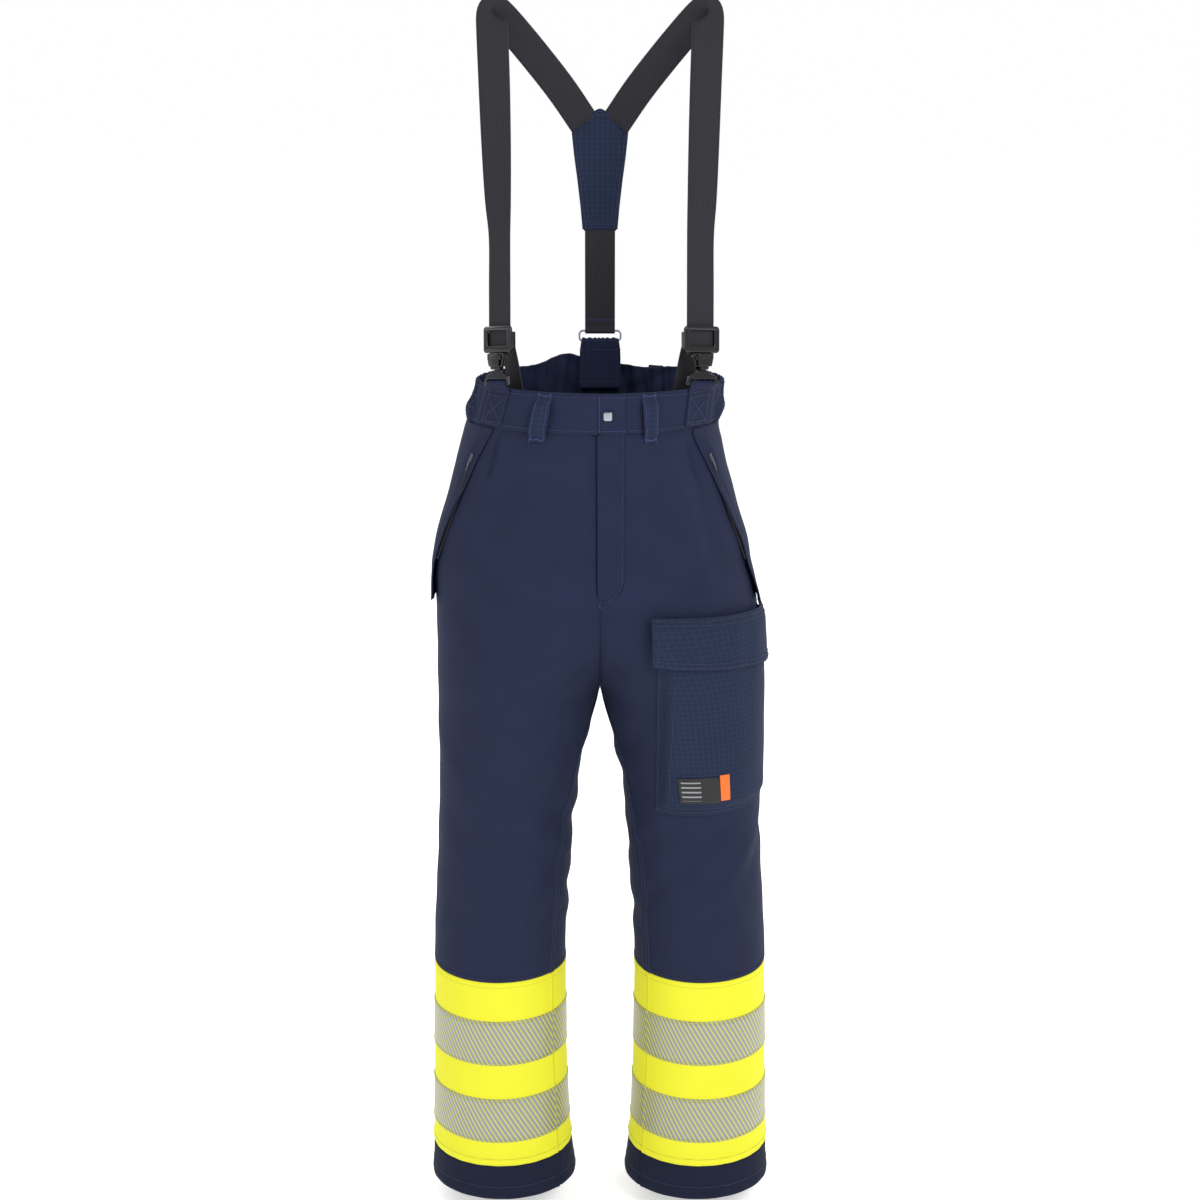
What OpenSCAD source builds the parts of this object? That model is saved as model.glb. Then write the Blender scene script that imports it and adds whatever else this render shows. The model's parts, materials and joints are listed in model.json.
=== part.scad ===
// Bunker pants with braces, hung as worn: the waist opening is at the origin,
// the legs hang down -Z, the front faces -Y and the wearer's left is +X.

/* [Body] */
// Length from the waist opening to the bottom of the legs
outside_leg = 1100; // [1090:5:1110]
// Height of the waistband
band_h = 50; // [45:1:52]
// Thickness of the outer shell cloth
shell_t = 2; // [1.5:0.1:2]
// Length of the front fly below the waist opening
fly_len = 264; // [255:1:266]

/* [Cuffs] */
// Depth of the dark hem at the bottom of each leg
hem_h = 48; // [40:1:52]
// Height of each reflective tape
tape_h = 62; // [50:1:64]
// Height of the bright cuff above the hem
cuff_h = 262; // [258:1:266]

/* [Pockets] */
// Top of the thigh pocket flap below the waist opening
cargo_top = 290; // [288:1:296]
// Bottom of the thigh pocket below the waist opening
cargo_bottom = 552; // [540:1:560]
// How far the thigh pocket stands off the leg
cargo_depth = 13; // [12:0.5:14]

/* [Braces] */
// Width of the elastic webbing
webbing_w = 38; // [34:1:39]
// Thickness of the elastic webbing
webbing_t = 2; // [1.5:0.1:2]
// Turn of the buckles outwards on the wearer's left
yaw_left = 30; // [20:1:40]
// Turn of the buckles outwards on the wearer's right
yaw_right = 46; // [38:1:50]

/* [Hidden] */
$fn = 32;
gap = 0.2;
shell_colour = [0.2, 0.22, 0.34];
lining_colour = [0.12, 0.13, 0.22];
ripstop_colour = [0.15, 0.18, 0.27];
webbing_colour = [0.12, 0.12, 0.13];
slider_colour = [0.3, 0.3, 0.32];
zip_colour = [0.06, 0.06, 0.07];
tape_colour = [0.08, 0.08, 0.1];
buckle_colour = [0.1, 0.1, 0.11];

// Sections of one half of the pants, as an ellipse in a level plane:
// height, centre x, centre y, half width, half depth. Above the crotch each half is
// cut at the middle plane, and below it the ellipse is a whole leg.
sections = [
    [60, 0, 0, 153, 120], [0, 0, 0, 155, 122], [-50, 6, 0, 152, 126.5],
    [-105, 16, 0, 154, 127.3], [-155, 26, 0, 158, 127.8], [-205, 34, 1, 165, 129],
    [-250, 44, 2, 161, 131.5], [-290, 58, 3, 149.5, 133], [-330, 76, 3, 132.5, 132],
    [-360, 90, 3, 119.5, 129], [-385, 100.5, 3, 109.5, 125], [-398, 104.6, 3, 105, 122.5],
    [-430, 108, 3, 102, 117], [-475, 114, 3, 96.5, 111], [-530, 119.5, 3, 91, 106],
    [-600, 125, 4, 88, 101], [-665, 128, 4, 88, 98], [-740, 133, 5, 87, 95],
    [-790, 134.5, 5, 88, 94], [-900, 135.5, 3, 89.5, 94], [-1000, 135, 2, 91.5, 95],
    [-1050, 134, 1, 94, 96], [-outside_leg, 132, 0, 98, 98]
];
function section_value(z, k) = lookup(z, [for (s = sections) [s[0], s[k]]]);
function centre_x(z) = section_value(z, 1);
function centre_y(z) = section_value(z, 2);
function half_w(z) = section_value(z, 3);
function half_d(z) = section_value(z, 4);

// A point of the surface at height z and angle a, counted from the side seam (0),
// negative to the front and positive to the back, moved outwards by off.
function skin(z, a, off) = [
    centre_x(z) + (half_w(z) + off) * cos(a), centre_y(z) + (half_d(z) + off) * sin(a), z
];
// The angle at which the surface reaches a distance x from the middle plane.
function angle_at(z, off, x) =
    acos(max(-1, min(1, (x - centre_x(z)) / (half_w(z) + off))));
// The heights from top to bottom, through every section between them.
function heights(top, bottom) = concat(
    [top], [for (s = sections) if (s[0] < top - 1 && s[0] > bottom + 1) s[0]], [bottom]);
function spread(low, high, n) = [for (i = [0:n]) low + (high - low) * i / n];

// A thin solid between an outer and an inner grid of points. Rows run down and
// columns run from the front to the back; a closed one joins its last column to its first.
module slab(outer, inner, closed = false) {
    r = len(outer);
    c = len(outer[0]);
    n = r * c;
    cols = closed ? c : c - 1;
    function at(i, j) = i * c + j % c;
    faces = concat(
        [for (i = [0:r - 2], j = [0:cols - 1]) each [
            [at(i, j), at(i, j + 1), at(i + 1, j + 1)], [at(i, j), at(i + 1, j + 1), at(i + 1, j)],
            [n + at(i, j), n + at(i + 1, j + 1), n + at(i, j + 1)],
            [n + at(i, j), n + at(i + 1, j), n + at(i + 1, j + 1)]]],
        [for (j = [0:cols - 1]) each [
            [n + at(0, j), n + at(0, j + 1), at(0, j + 1)], [n + at(0, j), at(0, j + 1), at(0, j)],
            [at(r - 1, j), at(r - 1, j + 1), n + at(r - 1, j + 1)],
            [at(r - 1, j), n + at(r - 1, j + 1), n + at(r - 1, j)]]],
        closed ? [] : [for (i = [0:r - 2]) each [
            [n + at(i, 0), at(i, 0), at(i + 1, 0)], [n + at(i, 0), at(i + 1, 0), n + at(i + 1, 0)],
            [at(i, c - 1), n + at(i, c - 1), n + at(i + 1, c - 1)],
            [at(i, c - 1), n + at(i + 1, c - 1), at(i + 1, c - 1)]]]);
    polyhedron(points = concat([for (row = outer) each row], [for (row = inner) each row]),
        faces = faces, convexity = 6);
}

// Everything is drawn for the wearer's left and mirrored for the right.
module on_side(side) {
    if (side > 0) children();
    else mirror([1, 0, 0]) children();
}

// A cloth strip on the surface between two angles at each height.
module strip(levels, from, to, out, in, n) {
    slab([for (i = [0:len(levels) - 1]) [for (a = spread(from[i], to[i], n))
            skin(levels[i], a, out)]],
        [for (i = [0:len(levels) - 1]) [for (a = spread(from[i], to[i], n))
            skin(levels[i], a, in)]]);
}
// A strip whose front edge is at a distance x from the middle plane.
module front_strip(levels, x, to, out, in, n) {
    slab([for (i = [0:len(levels) - 1])
            [for (a = spread(-angle_at(levels[i], out, x[i]), to[i], n)) skin(levels[i], a, out)]],
        [for (i = [0:len(levels) - 1])
            [for (a = spread(-angle_at(levels[i], in, x[i]), to[i], n)) skin(levels[i], a, in)]]);
}
// The same between two distances from the middle plane, on the front.
module middle_strip(levels, x_low, x_high, out, in, n) {
    slab([for (i = [0:len(levels) - 1]) [for (x = spread(x_low[i], x_high[i], n))
            skin(levels[i], -angle_at(levels[i], out, x), out)]],
        [for (i = [0:len(levels) - 1]) [for (x = spread(x_low[i], x_high[i], n))
            skin(levels[i], -angle_at(levels[i], in, x), in)]]);
}
// A ring round one leg.
module leg_ring(levels, out, in, n = 36) {
    turn = [for (j = [0:n - 1]) j * 360 / n];
    slab([for (z = levels) [for (a = turn) skin(z, a, out)]],
        [for (z = levels) [for (a = turn) skin(z, a, in)]], closed = true);
}

// Shell panels
fly_axis_x = 31;
fly_free = -3;
fly_bend = 34;
// The stitched side of the fly: straight, then a quarter ellipse to the middle.
function fly_edge(z) = z > fly_bend - fly_len ? fly_axis_x
    : z <= -fly_len ? 0
    : fly_axis_x * sqrt(1 - pow((fly_bend - fly_len - z) / fly_bend, 2));
fly_levels = [for (k = [0:4]) fly_bend * (1 - sin(k * 22.5)) - fly_len];
cuff_top = hem_h + cuff_h - outside_leg;
below_crotch = -399;
function shell_levels(bottom) = concat(heights(-band_h - gap, fly_levels[0] + 2), fly_levels,
    heights(-fly_len - 1, bottom));
function leg_cut(z) = z < below_crotch ? 0.12 : 0;

module front_panel(side) {
    levels = shell_levels(cuff_top + gap);
    reach = side > 0 ? [for (z = levels) fly_edge(z) + 0.4]
        : [for (z = levels) z > -fly_len - 0.5 ? -fly_free + 0.4 : 0.2];
    color(shell_colour) on_side(side)
        front_strip(levels, reach, [for (z = levels) -0.1], 0, -shell_t, 14);
}
module back_panel(side) {
    levels = heights(-band_h - gap, cuff_top + gap);
    color(shell_colour) on_side(side) slab(
        [for (z = levels) [for (a = spread(0.1, angle_at(z, 0, 0.2) - leg_cut(z), 14))
            skin(z, a, 0)]],
        [for (z = levels) [for (a = spread(0.1, angle_at(z, -shell_t, 0.2) - leg_cut(z), 14))
            skin(z, a, -shell_t)]]);
}
lining_out = -4.6;
lining_in = -5.4;
lining_end = 179.4;
module lining() {
    levels = concat(heights(-band_h - 2, -fly_len), heights(-fly_len - 1, 4 - outside_leg));
    function reach(side, z) = z <= -fly_len ? 0.6 : side > 0 ? fly_axis_x + 3 : 26;
    function grid(side, off) = [for (z = levels) [for (a = spread(
        -min(lining_end, angle_at(z, off, reach(side, z))),
        min(lining_end, angle_at(z, off, 0.6)), 24)) skin(z, a, off)]];
    color(lining_colour) for (side = [1, -1]) on_side(side)
        slab(grid(side, lining_out), grid(side, lining_in));
}

// Cuffs
hem_top = hem_h - outside_leg;
lower_tape = hem_top + 34;
upper_tape = lower_tape + tape_h + 49;
module hi_vis_cuff(side) {
    color([0.93, 0.96, 0.15]) on_side(side)
        leg_ring(heights(cuff_top, hem_top + gap), 0, -shell_t);
}
module reflective_tape(side, bottom) {
    color([0.68, 0.69, 0.7]) on_side(side)
        leg_ring(heights(bottom + tape_h, bottom), 1, 0.2);
}
module hem(side) {
    color([0.11, 0.12, 0.2]) on_side(side) leg_ring([hem_top, 4 - outside_leg,
        1 - outside_leg, -outside_leg], 0, -3);
}

// Waistband
tab_end = fly_axis_x + 0.4;
elastic_from = 18;
elastic_to = 46;
module waistband_front(side) {
    x = side > 0 ? tab_end + 0.4 : -fly_free + 0.4;
    color(shell_colour) on_side(side) front_strip([0, -25, -band_h], [x, x, x],
        [-elastic_from, -elastic_from, -elastic_from], 0.6, -shell_t, 12);
}
module waistband_back() {
    levels = [0, -25, -band_h];
    color(shell_colour) for (side = [1, -1]) on_side(side) slab(
        [for (z = levels) [for (a = spread(elastic_to, angle_at(z, 0.6, 0), 10))
            skin(z, a, 0.6)]],
        [for (z = levels) [for (a = spread(elastic_to, angle_at(z, -shell_t, 0), 10))
            skin(z, a, -shell_t)]]);
}
// The gathered stretches at both sides of the band, in shallow pleats.
module side_elastics() {
    levels = [0, -25, -band_h];
    n = 24;
    color([0.17, 0.19, 0.3]) for (side = [1, -1]) on_side(side) slab(
        [for (z = levels) [for (j = [0:n]) skin(z, elastic_from * -1 + 0.1
            + (elastic_to + elastic_from - 0.2) * j / n, j % 2 == 0 ? 0.4 : 2.4)]],
        [for (z = levels) [for (j = [0:n]) skin(z, elastic_from * -1 + 0.1
            + (elastic_to + elastic_from - 0.2) * j / n, j % 2 == 0 ? -2 : -0.4)]]);
}

// Fly
module fly_cover() {
    levels = concat([-band_h - gap, -105, -155, -205], fly_levels);
    color(shell_colour) middle_strip(levels, [for (z = levels) fly_free],
        [for (z = levels) max(fly_edge(z) - 0.4, -2)], 0, -1.8, 5);
}
module waist_tab() {
    levels = [-0.3, -25, -band_h];
    color(shell_colour) middle_strip(levels, [for (z = levels) fly_free],
        [for (z = levels) tab_end - 0.4], 0.6, -1.8, 5);
}
module fly_guard() {
    levels = [-6, -50, -105, -155, -205, -250];
    color(lining_colour) middle_strip(levels, [for (z = levels) -5],
        [for (z = levels) fly_axis_x + 1], -9.5, -10.7, 5);
}
zip_x = 12;
zip_top = -58;
zip_bottom = -252;
zip_y = -120.8;
module fly_zip_tapes() {
    levels = [-52, -105, -155, -205, zip_bottom];
    color(tape_colour) {
        middle_strip(levels, [for (z = levels) -2], [for (z = levels) zip_x - 5], -5.6, -6.4, 2);
        middle_strip(levels, [for (z = levels) zip_x + 5], [for (z = levels) 28], -5.6, -6.4, 2);
    }
}
module fly_zip_teeth() {
    color(zip_colour) translate([zip_x - 2.5, zip_y - 0.8, zip_bottom])
        cube([5, 1.6, zip_top - zip_bottom + 4]);
}
slider_h = 14;
module fly_zip_slider() {
    color(slider_colour) translate([zip_x, zip_y, zip_top - slider_h]) difference() {
        translate([-4.3, -2, 0]) cube([8.6, 4, slider_h]);
        translate([-3, -1.2, -1]) cube([6, 2.4, slider_h + 2]);
    }
    color(slider_colour) for (dx = [-2.2, 1])
        translate([zip_x + dx, zip_y - 3.6, zip_top - 8]) difference() {
            cube([1.2, 1.6, 4]);
            translate([-1, 0.8, 2]) rotate([0, 90, 0]) cylinder(r = 0.5, h = 4);
        }
}
pull_y = zip_y - 2.8;
pull_z = zip_top - 6;
pull_len = 16;
module fly_zip_pull() {
    color(slider_colour) {
        translate([zip_x - 2.2, pull_y, pull_z]) rotate([0, 90, 0]) cylinder(r = 0.3, h = 4.4);
        translate([zip_x - 0.7, pull_y - 0.5, pull_z - pull_len]) cube([1.4, 0.9, pull_len + 0.4]);
        translate([zip_x - 3, pull_y - 0.5, pull_z - pull_len]) cube([6, 0.9, pull_len - 7]);
    }
}
snap_z = -27;
snap_x = 9;
snap_r = 6;
snap_y = -(half_d(snap_z - snap_r) + 0.6) - 0.2;
module snap_cap() {
    size = 2 * snap_r;
    round_r = 3;
    color([0.85, 0.86, 0.88]) translate([snap_x, snap_y, snap_z]) rotate([90, 0, 0]) {
        linear_extrude(1.8) union() {
            square([size, size - 2 * round_r], center = true);
            square([size - 2 * round_r, size], center = true);
            for (x = [-1, 1], y = [-1, 1]) translate([x, y] * (size / 2 - round_r)) circle(round_r);
        }
    }
}
module snap_stud() {
    color([0.7, 0.71, 0.73]) translate([snap_x, snap_y + 9.9, snap_z]) rotate([90, 0, 0]) {
        cylinder(r = 6, h = 1.2);
        cylinder(r = 2.4, h = 6);
    }
}

// Belt loops: a strap that stands off the band and is sewn at both ends.
loop_w = 19;
loop_top = -2;
loop_bottom = -60;
module loop_at(angle) {
    levels = [loop_top, loop_top - 7, loop_top - 12, -28, loop_bottom + 14, loop_bottom + 8,
        loop_bottom];
    stand = [1, 1.4, 10, 10.4, 10, 1.4, 1];
    half = loop_w / 2 / 140 * 57.3;
    slab([for (i = [0:6]) [for (a = spread(angle - half, angle + half, 2))
            skin(levels[i], a, stand[i] + 1.6)]],
        [for (i = [0:6]) [for (a = spread(angle - half, angle + half, 2))
            skin(levels[i], a, stand[i])]]);
}
module belt_loop(side) {
    color(ripstop_colour) on_side(side) loop_at(-67.5);
}
module belt_loops_back() {
    color(ripstop_colour) for (side = [1, -1]) on_side(side) loop_at(62);
}

// Slanted hand pockets
flap_free_edge = [[-55, -40], [-95, -33], [-157, -25], [-205, -21], [-283, -14]];
flap_hinge_a = 9;
flap_levels = [-55, -75, -95, -125, -157, -205, -245, -283];
function flap_edge(z) = lookup(z, flap_free_edge);
function flap_stand(t) = 1.4 + 7 * t;
module hand_pocket_flap(side) {
    n = 6;
    color(shell_colour) on_side(side) slab(
        [for (z = flap_levels) [for (j = [0:n])
            skin(z, flap_edge(z) + (flap_hinge_a - flap_edge(z)) * j / n,
                flap_stand(1 - j / n) + 1.8)]],
        [for (z = flap_levels) [for (j = [0:n])
            skin(z, flap_edge(z) + (flap_hinge_a - flap_edge(z)) * j / n,
                flap_stand(1 - j / n))]]);
}
module hand_pocket_bag(side) {
    levels = [-70, -105, -155, -205, -250, -290, -320];
    color(lining_colour) on_side(side) strip(levels, [for (z = levels) -68],
        [for (z = levels) -8], -2.3, -4.2, 8);
}
// The pocket zip is straight, so that its slider runs along it.
zip_lift = 2.6;
pocket_zip_a = skin(-82, -31, zip_lift);
pocket_zip_b = skin(-226, -18.5, zip_lift);
pocket_zip_len = norm(pocket_zip_a - pocket_zip_b);
zip_z = (pocket_zip_a - pocket_zip_b) / pocket_zip_len;
zip_face = [cos(-26), sin(-26), 0];
zip_y_axis = unit((zip_face * zip_z) * zip_z - zip_face);
zip_x_axis = cross(zip_y_axis, zip_z);
// Places its children at a point of the pocket zip, z along it and -y outwards.
module along_pocket_zip(s) {
    p = pocket_zip_b + zip_z * s;
    multmatrix([for (k = [0:2]) [zip_x_axis[k], zip_y_axis[k], zip_z[k], p[k]]]) children();
}
module hand_pocket_zip(side) {
    color(zip_colour) on_side(side) along_pocket_zip(0) {
        translate([-6, -1, 0]) cube([12, 0.7, pocket_zip_len]);
        translate([-2, -2, 1]) cube([4, 1, pocket_zip_len - 2]);
    }
}
module hand_pocket_slider(side) {
    color(slider_colour) on_side(side) along_pocket_zip(pocket_zip_len - 14) {
        translate([-3, -3.3, 0]) cube([6, 1, 11]);
        translate([-1, -4.2, -12]) cube([2, 0.9, 18]);
    }
}

// Thigh pocket on the wearer's left
cargo_front_x = 73;
cargo_rear = 8;
wall = 1.6;
// Angles across the pocket at a height, with an overhang at both edges.
function cargo_angles(z, over, n) =
    spread(-angle_at(z, 0, cargo_front_x - over), cargo_rear + over / 2.4, n);
function bulge(t, u) = min(1, 5 * t) * min(1, 7 * (1 - t)) * min(1, 5 * (1 - u));
module cargo_pocket() {
    n = 12;
    m = 8;
    levels = spread(-cargo_top - 14, -cargo_bottom, m);
    function grid(off) = [for (i = [0:m]) let (a = cargo_angles(levels[i], 0, n))
        [for (j = [0:n]) skin(levels[i], a[j], off + cargo_depth * bulge(j / n, i / m))]];
    color(ripstop_colour) slab(grid(0.2 + wall), grid(0.2));
}
cargo_flap_stand = cargo_depth + wall + 3.6;
cargo_flap_drop = 74;
module cargo_flap() {
    levels = spread(-cargo_top, -cargo_top - cargo_flap_drop, 4);
    function grid(off) = [for (z = levels) [for (a = cargo_angles(z, 7, 12)) skin(z, a, off)]];
    color(ripstop_colour) slab(grid(cargo_flap_stand + 1.8), grid(cargo_flap_stand));
}
// Facing patches of hook and loop tape.
tape_levels = [-cargo_top - 44, -cargo_top - 66];
module cargo_hook_tape() {
    color(tape_colour) strip(tape_levels, [-70, -70], [-34, -34],
        cargo_flap_stand - 0.7, cargo_flap_stand - 1.3, 4);
}
module cargo_loop_tape() {
    color(tape_colour) strip(tape_levels, [-70, -70], [-34, -34],
        cargo_flap_stand - 2.1, cargo_flap_stand - 2.7, 4);
}
label_top = -494;
module label_patch() {
    levels = [label_top - 2, label_top - 18, label_top - 37];
    color([0.05, 0.05, 0.06]) strip(levels, [-94, -94, -94], [-65, -65, -65],
        cargo_depth + wall + 1.5, cargo_depth + wall + 0.4, 4);
}
module label_tab() {
    levels = [label_top, label_top - 18, label_top - 35];
    color([0.94, 0.43, 0.12]) strip(levels, [-64, -64, -64], [-58, -58, -58],
        cargo_depth + wall + 1.8, cargo_depth + wall + 0.4, 1);
}

// Braces
buckle = [124, -65, 60];
strap_tilt = 10.4;
rear_y = 113;
tab_pivot = [0, rear_y, 31];
ring_pivot = [0, rear_y, 44];
function turn_z(v, t) = [v[0] * cos(t) - v[1] * sin(t), v[0] * sin(t) + v[1] * cos(t), v[2]];
function turn_x(v, t) = [v[0], v[1] * cos(t) - v[2] * sin(t), v[1] * sin(t) + v[2] * cos(t)];
function along_strap(s) = buckle + s * [0, sin(strap_tilt), cos(strap_tilt)];
function unit(v) = v / norm(v);
// A flat band along a list of points, with a width vector at each point.
module ribbon(points, across, t) {
    last = len(points) - 1;
    function run(i) = unit(points[min(i + 1, last)] - points[max(i - 1, 0)]);
    face = [for (i = [0:last]) unit(cross(run(i), across[i])) * t / 2];
    slab([for (i = [0:last]) [points[i] - across[i] / 2 + face[i],
            points[i] + across[i] / 2 + face[i]]],
        [for (i = [0:last]) [points[i] - across[i] / 2 - face[i],
            points[i] + across[i] / 2 - face[i]]]);
}
// Places its children at the buckle: z up along the strap and -y to the front.
module at_buckle(side) {
    on_side(side) translate(buckle) rotate([-strap_tilt, 0, 0])
        rotate([0, 0, side > 0 ? yaw_left : yaw_right]) children();
}
shoulder = [133, 12, 452];
yoke_join = [20, 99, 312];
// Front strap, over the shoulder and down to the yoke.
module brace_strap(side) {
    yaw = side > 0 ? yaw_left : yaw_right;
    low = [for (s = [-20, 60, 125]) along_strap(s)];
    high = [[126, -32, 230], [128, -20, 300], [130, -9, 370], [132, 2, 425]];
    twist = [0, 0, 0, 0.3, 0.6, 0.85, 1];
    back = [[129, 19, 453], [112, 32, 435], [80, 55, 396], [48, 78, 354], yoke_join];
    front_w = [for (k = twist) webbing_w * turn_x(turn_z([1, 0, 0], yaw * (1 - k)), -strap_tilt)];
    slope = unit([-109, 80, -135]);
    back_w = webbing_w * unit(cross(unit([0.28, 0.9, 0.33]), slope));
    color(webbing_colour) on_side(side) ribbon(
        concat([for (i = [2:-1:0]) back[i + 2]], [back[1], back[0], shoulder],
            [for (i = [3:-1:0]) high[i]], [for (i = [2:-1:0]) low[i]]),
        concat([back_w, back_w, back_w, back_w, (back_w + front_w[6]) / 2, front_w[6]],
            [for (i = [6:-1:0]) front_w[i]]), webbing_t);
}
// Loose ends of the webbing, from the back of the buckles into the waist.
module brace_tails() {
    color(webbing_colour) for (side = [1, -1]) on_side(side) {
        yaw = side > 0 ? yaw_left : yaw_right;
        wide = webbing_w * turn_z([1, 0, 0], yaw + 14);
        ribbon([[117, -50, 58], [111, -51, 30], [106, -53, 0], [102, -54, -32]],
            [wide, wide, wide, wide], webbing_t);
    }
}
module brace_yoke() {
    color(ripstop_colour) {
        ribbon([[0, 102.6, 318], [0, 105.6, 300], [0, 110, 240], [0, 113, 176]],
            [[40, 0, 0], [70, 0, 0], [55, 0, 0], [42, 0, 0]], 5);
    }
}
module brace_back_strap() {
    color(webbing_colour) {
        ribbon([[0, 113.2, 175.5], [0, rear_y + 1, 120], [0, rear_y, 47]],
            [[webbing_w, 0, 0], [webbing_w, 0, 0], [webbing_w, 0, 0]], webbing_t);
        translate(ring_pivot - [webbing_w / 2, 0, 0]) rotate([0, 90, 0]) difference() {
            cylinder(r = 3.4, h = webbing_w);
            translate([0, 0, -1]) cylinder(r = 1.8, h = webbing_w + 2);
        }
    }
}
ring_r = 1.4;
ring_half = 27;
corner_r = 4;
module rear_ring() {
    mid = (ring_pivot[2] + tab_pivot[2]) / 2;
    high = ring_pivot[2] - mid;
    color([0.6, 0.61, 0.65]) translate([0, rear_y, mid]) {
        for (z = [-high, high]) translate([corner_r - ring_half, 0, z]) rotate([0, 90, 0])
            cylinder(r = ring_r, h = 2 * (ring_half - corner_r));
        for (x = [-ring_half, ring_half]) translate([x, 0, corner_r - high])
            cylinder(r = ring_r, h = 2 * (high - corner_r));
        for (x = [-1, 1], z = [-1, 1]) translate([x * (ring_half - corner_r), 0, z * (high - corner_r)])
            rotate([90, x > 0 ? (z > 0 ? 0 : 90) : (z > 0 ? -90 : 180), 0])
                rotate_extrude(angle = 90) translate([corner_r, 0]) circle(ring_r);
    }
}
module rear_tab() {
    w = 42;
    color(ripstop_colour) {
        translate([-w / 2, rear_y, 31]) rotate([0, 90, 0]) difference() {
            cylinder(r = 3.2, h = w);
            translate([0, 0, -1]) cylinder(r = 1.8, h = w + 2);
        }
        ribbon([[0, rear_y, 28.8], [0, rear_y - 0.5, 16], [0, rear_y + 1, -2], [0, rear_y + 3, -32]],
            [[w, 0, 0], [48, 0, 0], [51, 0, 0], [53, 0, 0]], 2.4);
    }
}
adjuster_w = 51;
module adjuster(side) {
    color(buckle_colour) at_buckle(side) {
        difference() {
            translate([-adjuster_w / 2, -5, -18]) cube([adjuster_w, 3.5, 33]);
            translate([-18, -6, -10]) cube([36, 6, 20]);
        }
        for (x = [-1, 1]) translate([x * (adjuster_w / 2 - 2.6) - 2.6, -5, -14]) cube([5.2, 8.8, 22]);
        translate([-adjuster_w / 2, 1.8, -14]) cube([adjuster_w, 2, 8]);
    }
}
clip_top = -18.3;
clip_low = -35;
module clip_body(side) {
    color(buckle_colour) at_buckle(side) {
        difference() {
            translate([-15, -8, clip_low]) cube([30, 6, clip_top - clip_low]);
            translate([-9, -6.1, clip_low - 1]) cube([18, 3.2, 9]);
        }
        for (x = [-12, 9.4]) translate([x, -10.4, -27]) difference() {
            cube([2.6, 2.4, 5]);
            translate([-1, 1.2, 2.5]) rotate([0, 90, 0]) cylinder(r = 0.9, h = 5);
        }
    }
}
lever_pin = [0, -9.2, -24.5];
module clip_lever(side) {
    color(buckle_colour) at_buckle(side) translate(lever_pin) {
        translate([-12, 0, 0]) rotate([0, 90, 0]) cylinder(r = 0.6, h = 24);
        translate([-9, -1.6, -10]) cube([18, 1.6, 15.5]);
        translate([-6, -1.6, -14.2]) cube([12, 1.6, 4.5]);
        translate([-9, -1, -1]) cube([18, 1.4, 2]);
    }
}
hook_bar = [0, -4.5, -56];
module lower_hook(side) {
    color(buckle_colour) at_buckle(side) {
        translate([0, -3.3, 0]) rotate([90, 0, 0]) linear_extrude(2.4) difference() {
            polygon([[-8.5, -39.3], [8.5, -39.3], [10, -42], [21, -47], [24, -58], [-24, -58],
                [-21, -47], [-10, -42]]);
            polygon([[-17.6, -50], [17.6, -50], [19.4, -60], [-19.4, -60]]);
        }
        translate(hook_bar - [20.5, 0, 0]) rotate([0, 90, 0]) cylinder(r = 1.5, h = 41);
    }
}
// Cloth loop round the hook's bar, sewn to the outside of the band.
module brace_loop(side) {
    color(shell_colour) at_buckle(side) translate(hook_bar - [17, 0, 0]) rotate([0, 90, 0])
        difference() {
            cylinder(r = 3.2, h = 34);
            translate([0, 0, -1]) cylinder(r = 1.9, h = 36);
        }
    centre = side > 0 ? -38 : -37;
    color(shell_colour) on_side(side) strip([1, -4, -25, -44],
        [for (i = [0:3]) centre - 7.5], [for (i = [0:3]) centre + 7.5], 2.6, 0.9, 4);
}

front_panel(1);  // front_panel_left
front_panel(-1);  // front_panel_right
back_panel(1);  // back_panel_left
back_panel(-1);  // back_panel_right
lining();
hi_vis_cuff(1);  // hi_vis_cuff_left
hi_vis_cuff(-1);  // hi_vis_cuff_right
reflective_tape(1, upper_tape);  // reflective_tape_upper_left
reflective_tape(-1, upper_tape);  // reflective_tape_upper_right
reflective_tape(1, lower_tape);  // reflective_tape_lower_left
reflective_tape(-1, lower_tape);  // reflective_tape_lower_right
hem(1);  // hem_left
hem(-1);  // hem_right
waistband_front(1);  // waistband_front_left
waistband_front(-1);  // waistband_front_right
waistband_back();
side_elastics();
fly_cover();
waist_tab();
fly_guard();
fly_zip_tapes();
fly_zip_teeth();
fly_zip_slider();
fly_zip_pull();
snap_cap();
snap_stud();
belt_loop(1);  // belt_loop_left
belt_loop(-1);  // belt_loop_right
belt_loops_back();
hand_pocket_bag(1);  // hand_pocket_bag_left
hand_pocket_bag(-1);  // hand_pocket_bag_right
hand_pocket_flap(1);  // hand_pocket_flap_left
hand_pocket_flap(-1);  // hand_pocket_flap_right
hand_pocket_zip(1);  // hand_pocket_zip_left
hand_pocket_zip(-1);  // hand_pocket_zip_right
hand_pocket_slider(1);  // hand_pocket_slider_left
hand_pocket_slider(-1);  // hand_pocket_slider_right
cargo_pocket();
cargo_flap();
cargo_hook_tape();
cargo_loop_tape();
label_patch();
label_tab();
brace_strap(1);  // brace_strap_left
brace_strap(-1);  // brace_strap_right
brace_tails();
brace_yoke();
brace_back_strap();
rear_ring();
rear_tab();
adjuster(1);  // adjuster_left
adjuster(-1);  // adjuster_right
clip_body(1);  // clip_body_left
clip_body(-1);  // clip_body_right
clip_lever(1);  // clip_lever_left
clip_lever(-1);  // clip_lever_right
lower_hook(1);  // lower_hook_left
lower_hook(-1);  // lower_hook_right
brace_loop(1);  // brace_loop_left
brace_loop(-1);  // brace_loop_right
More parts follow.
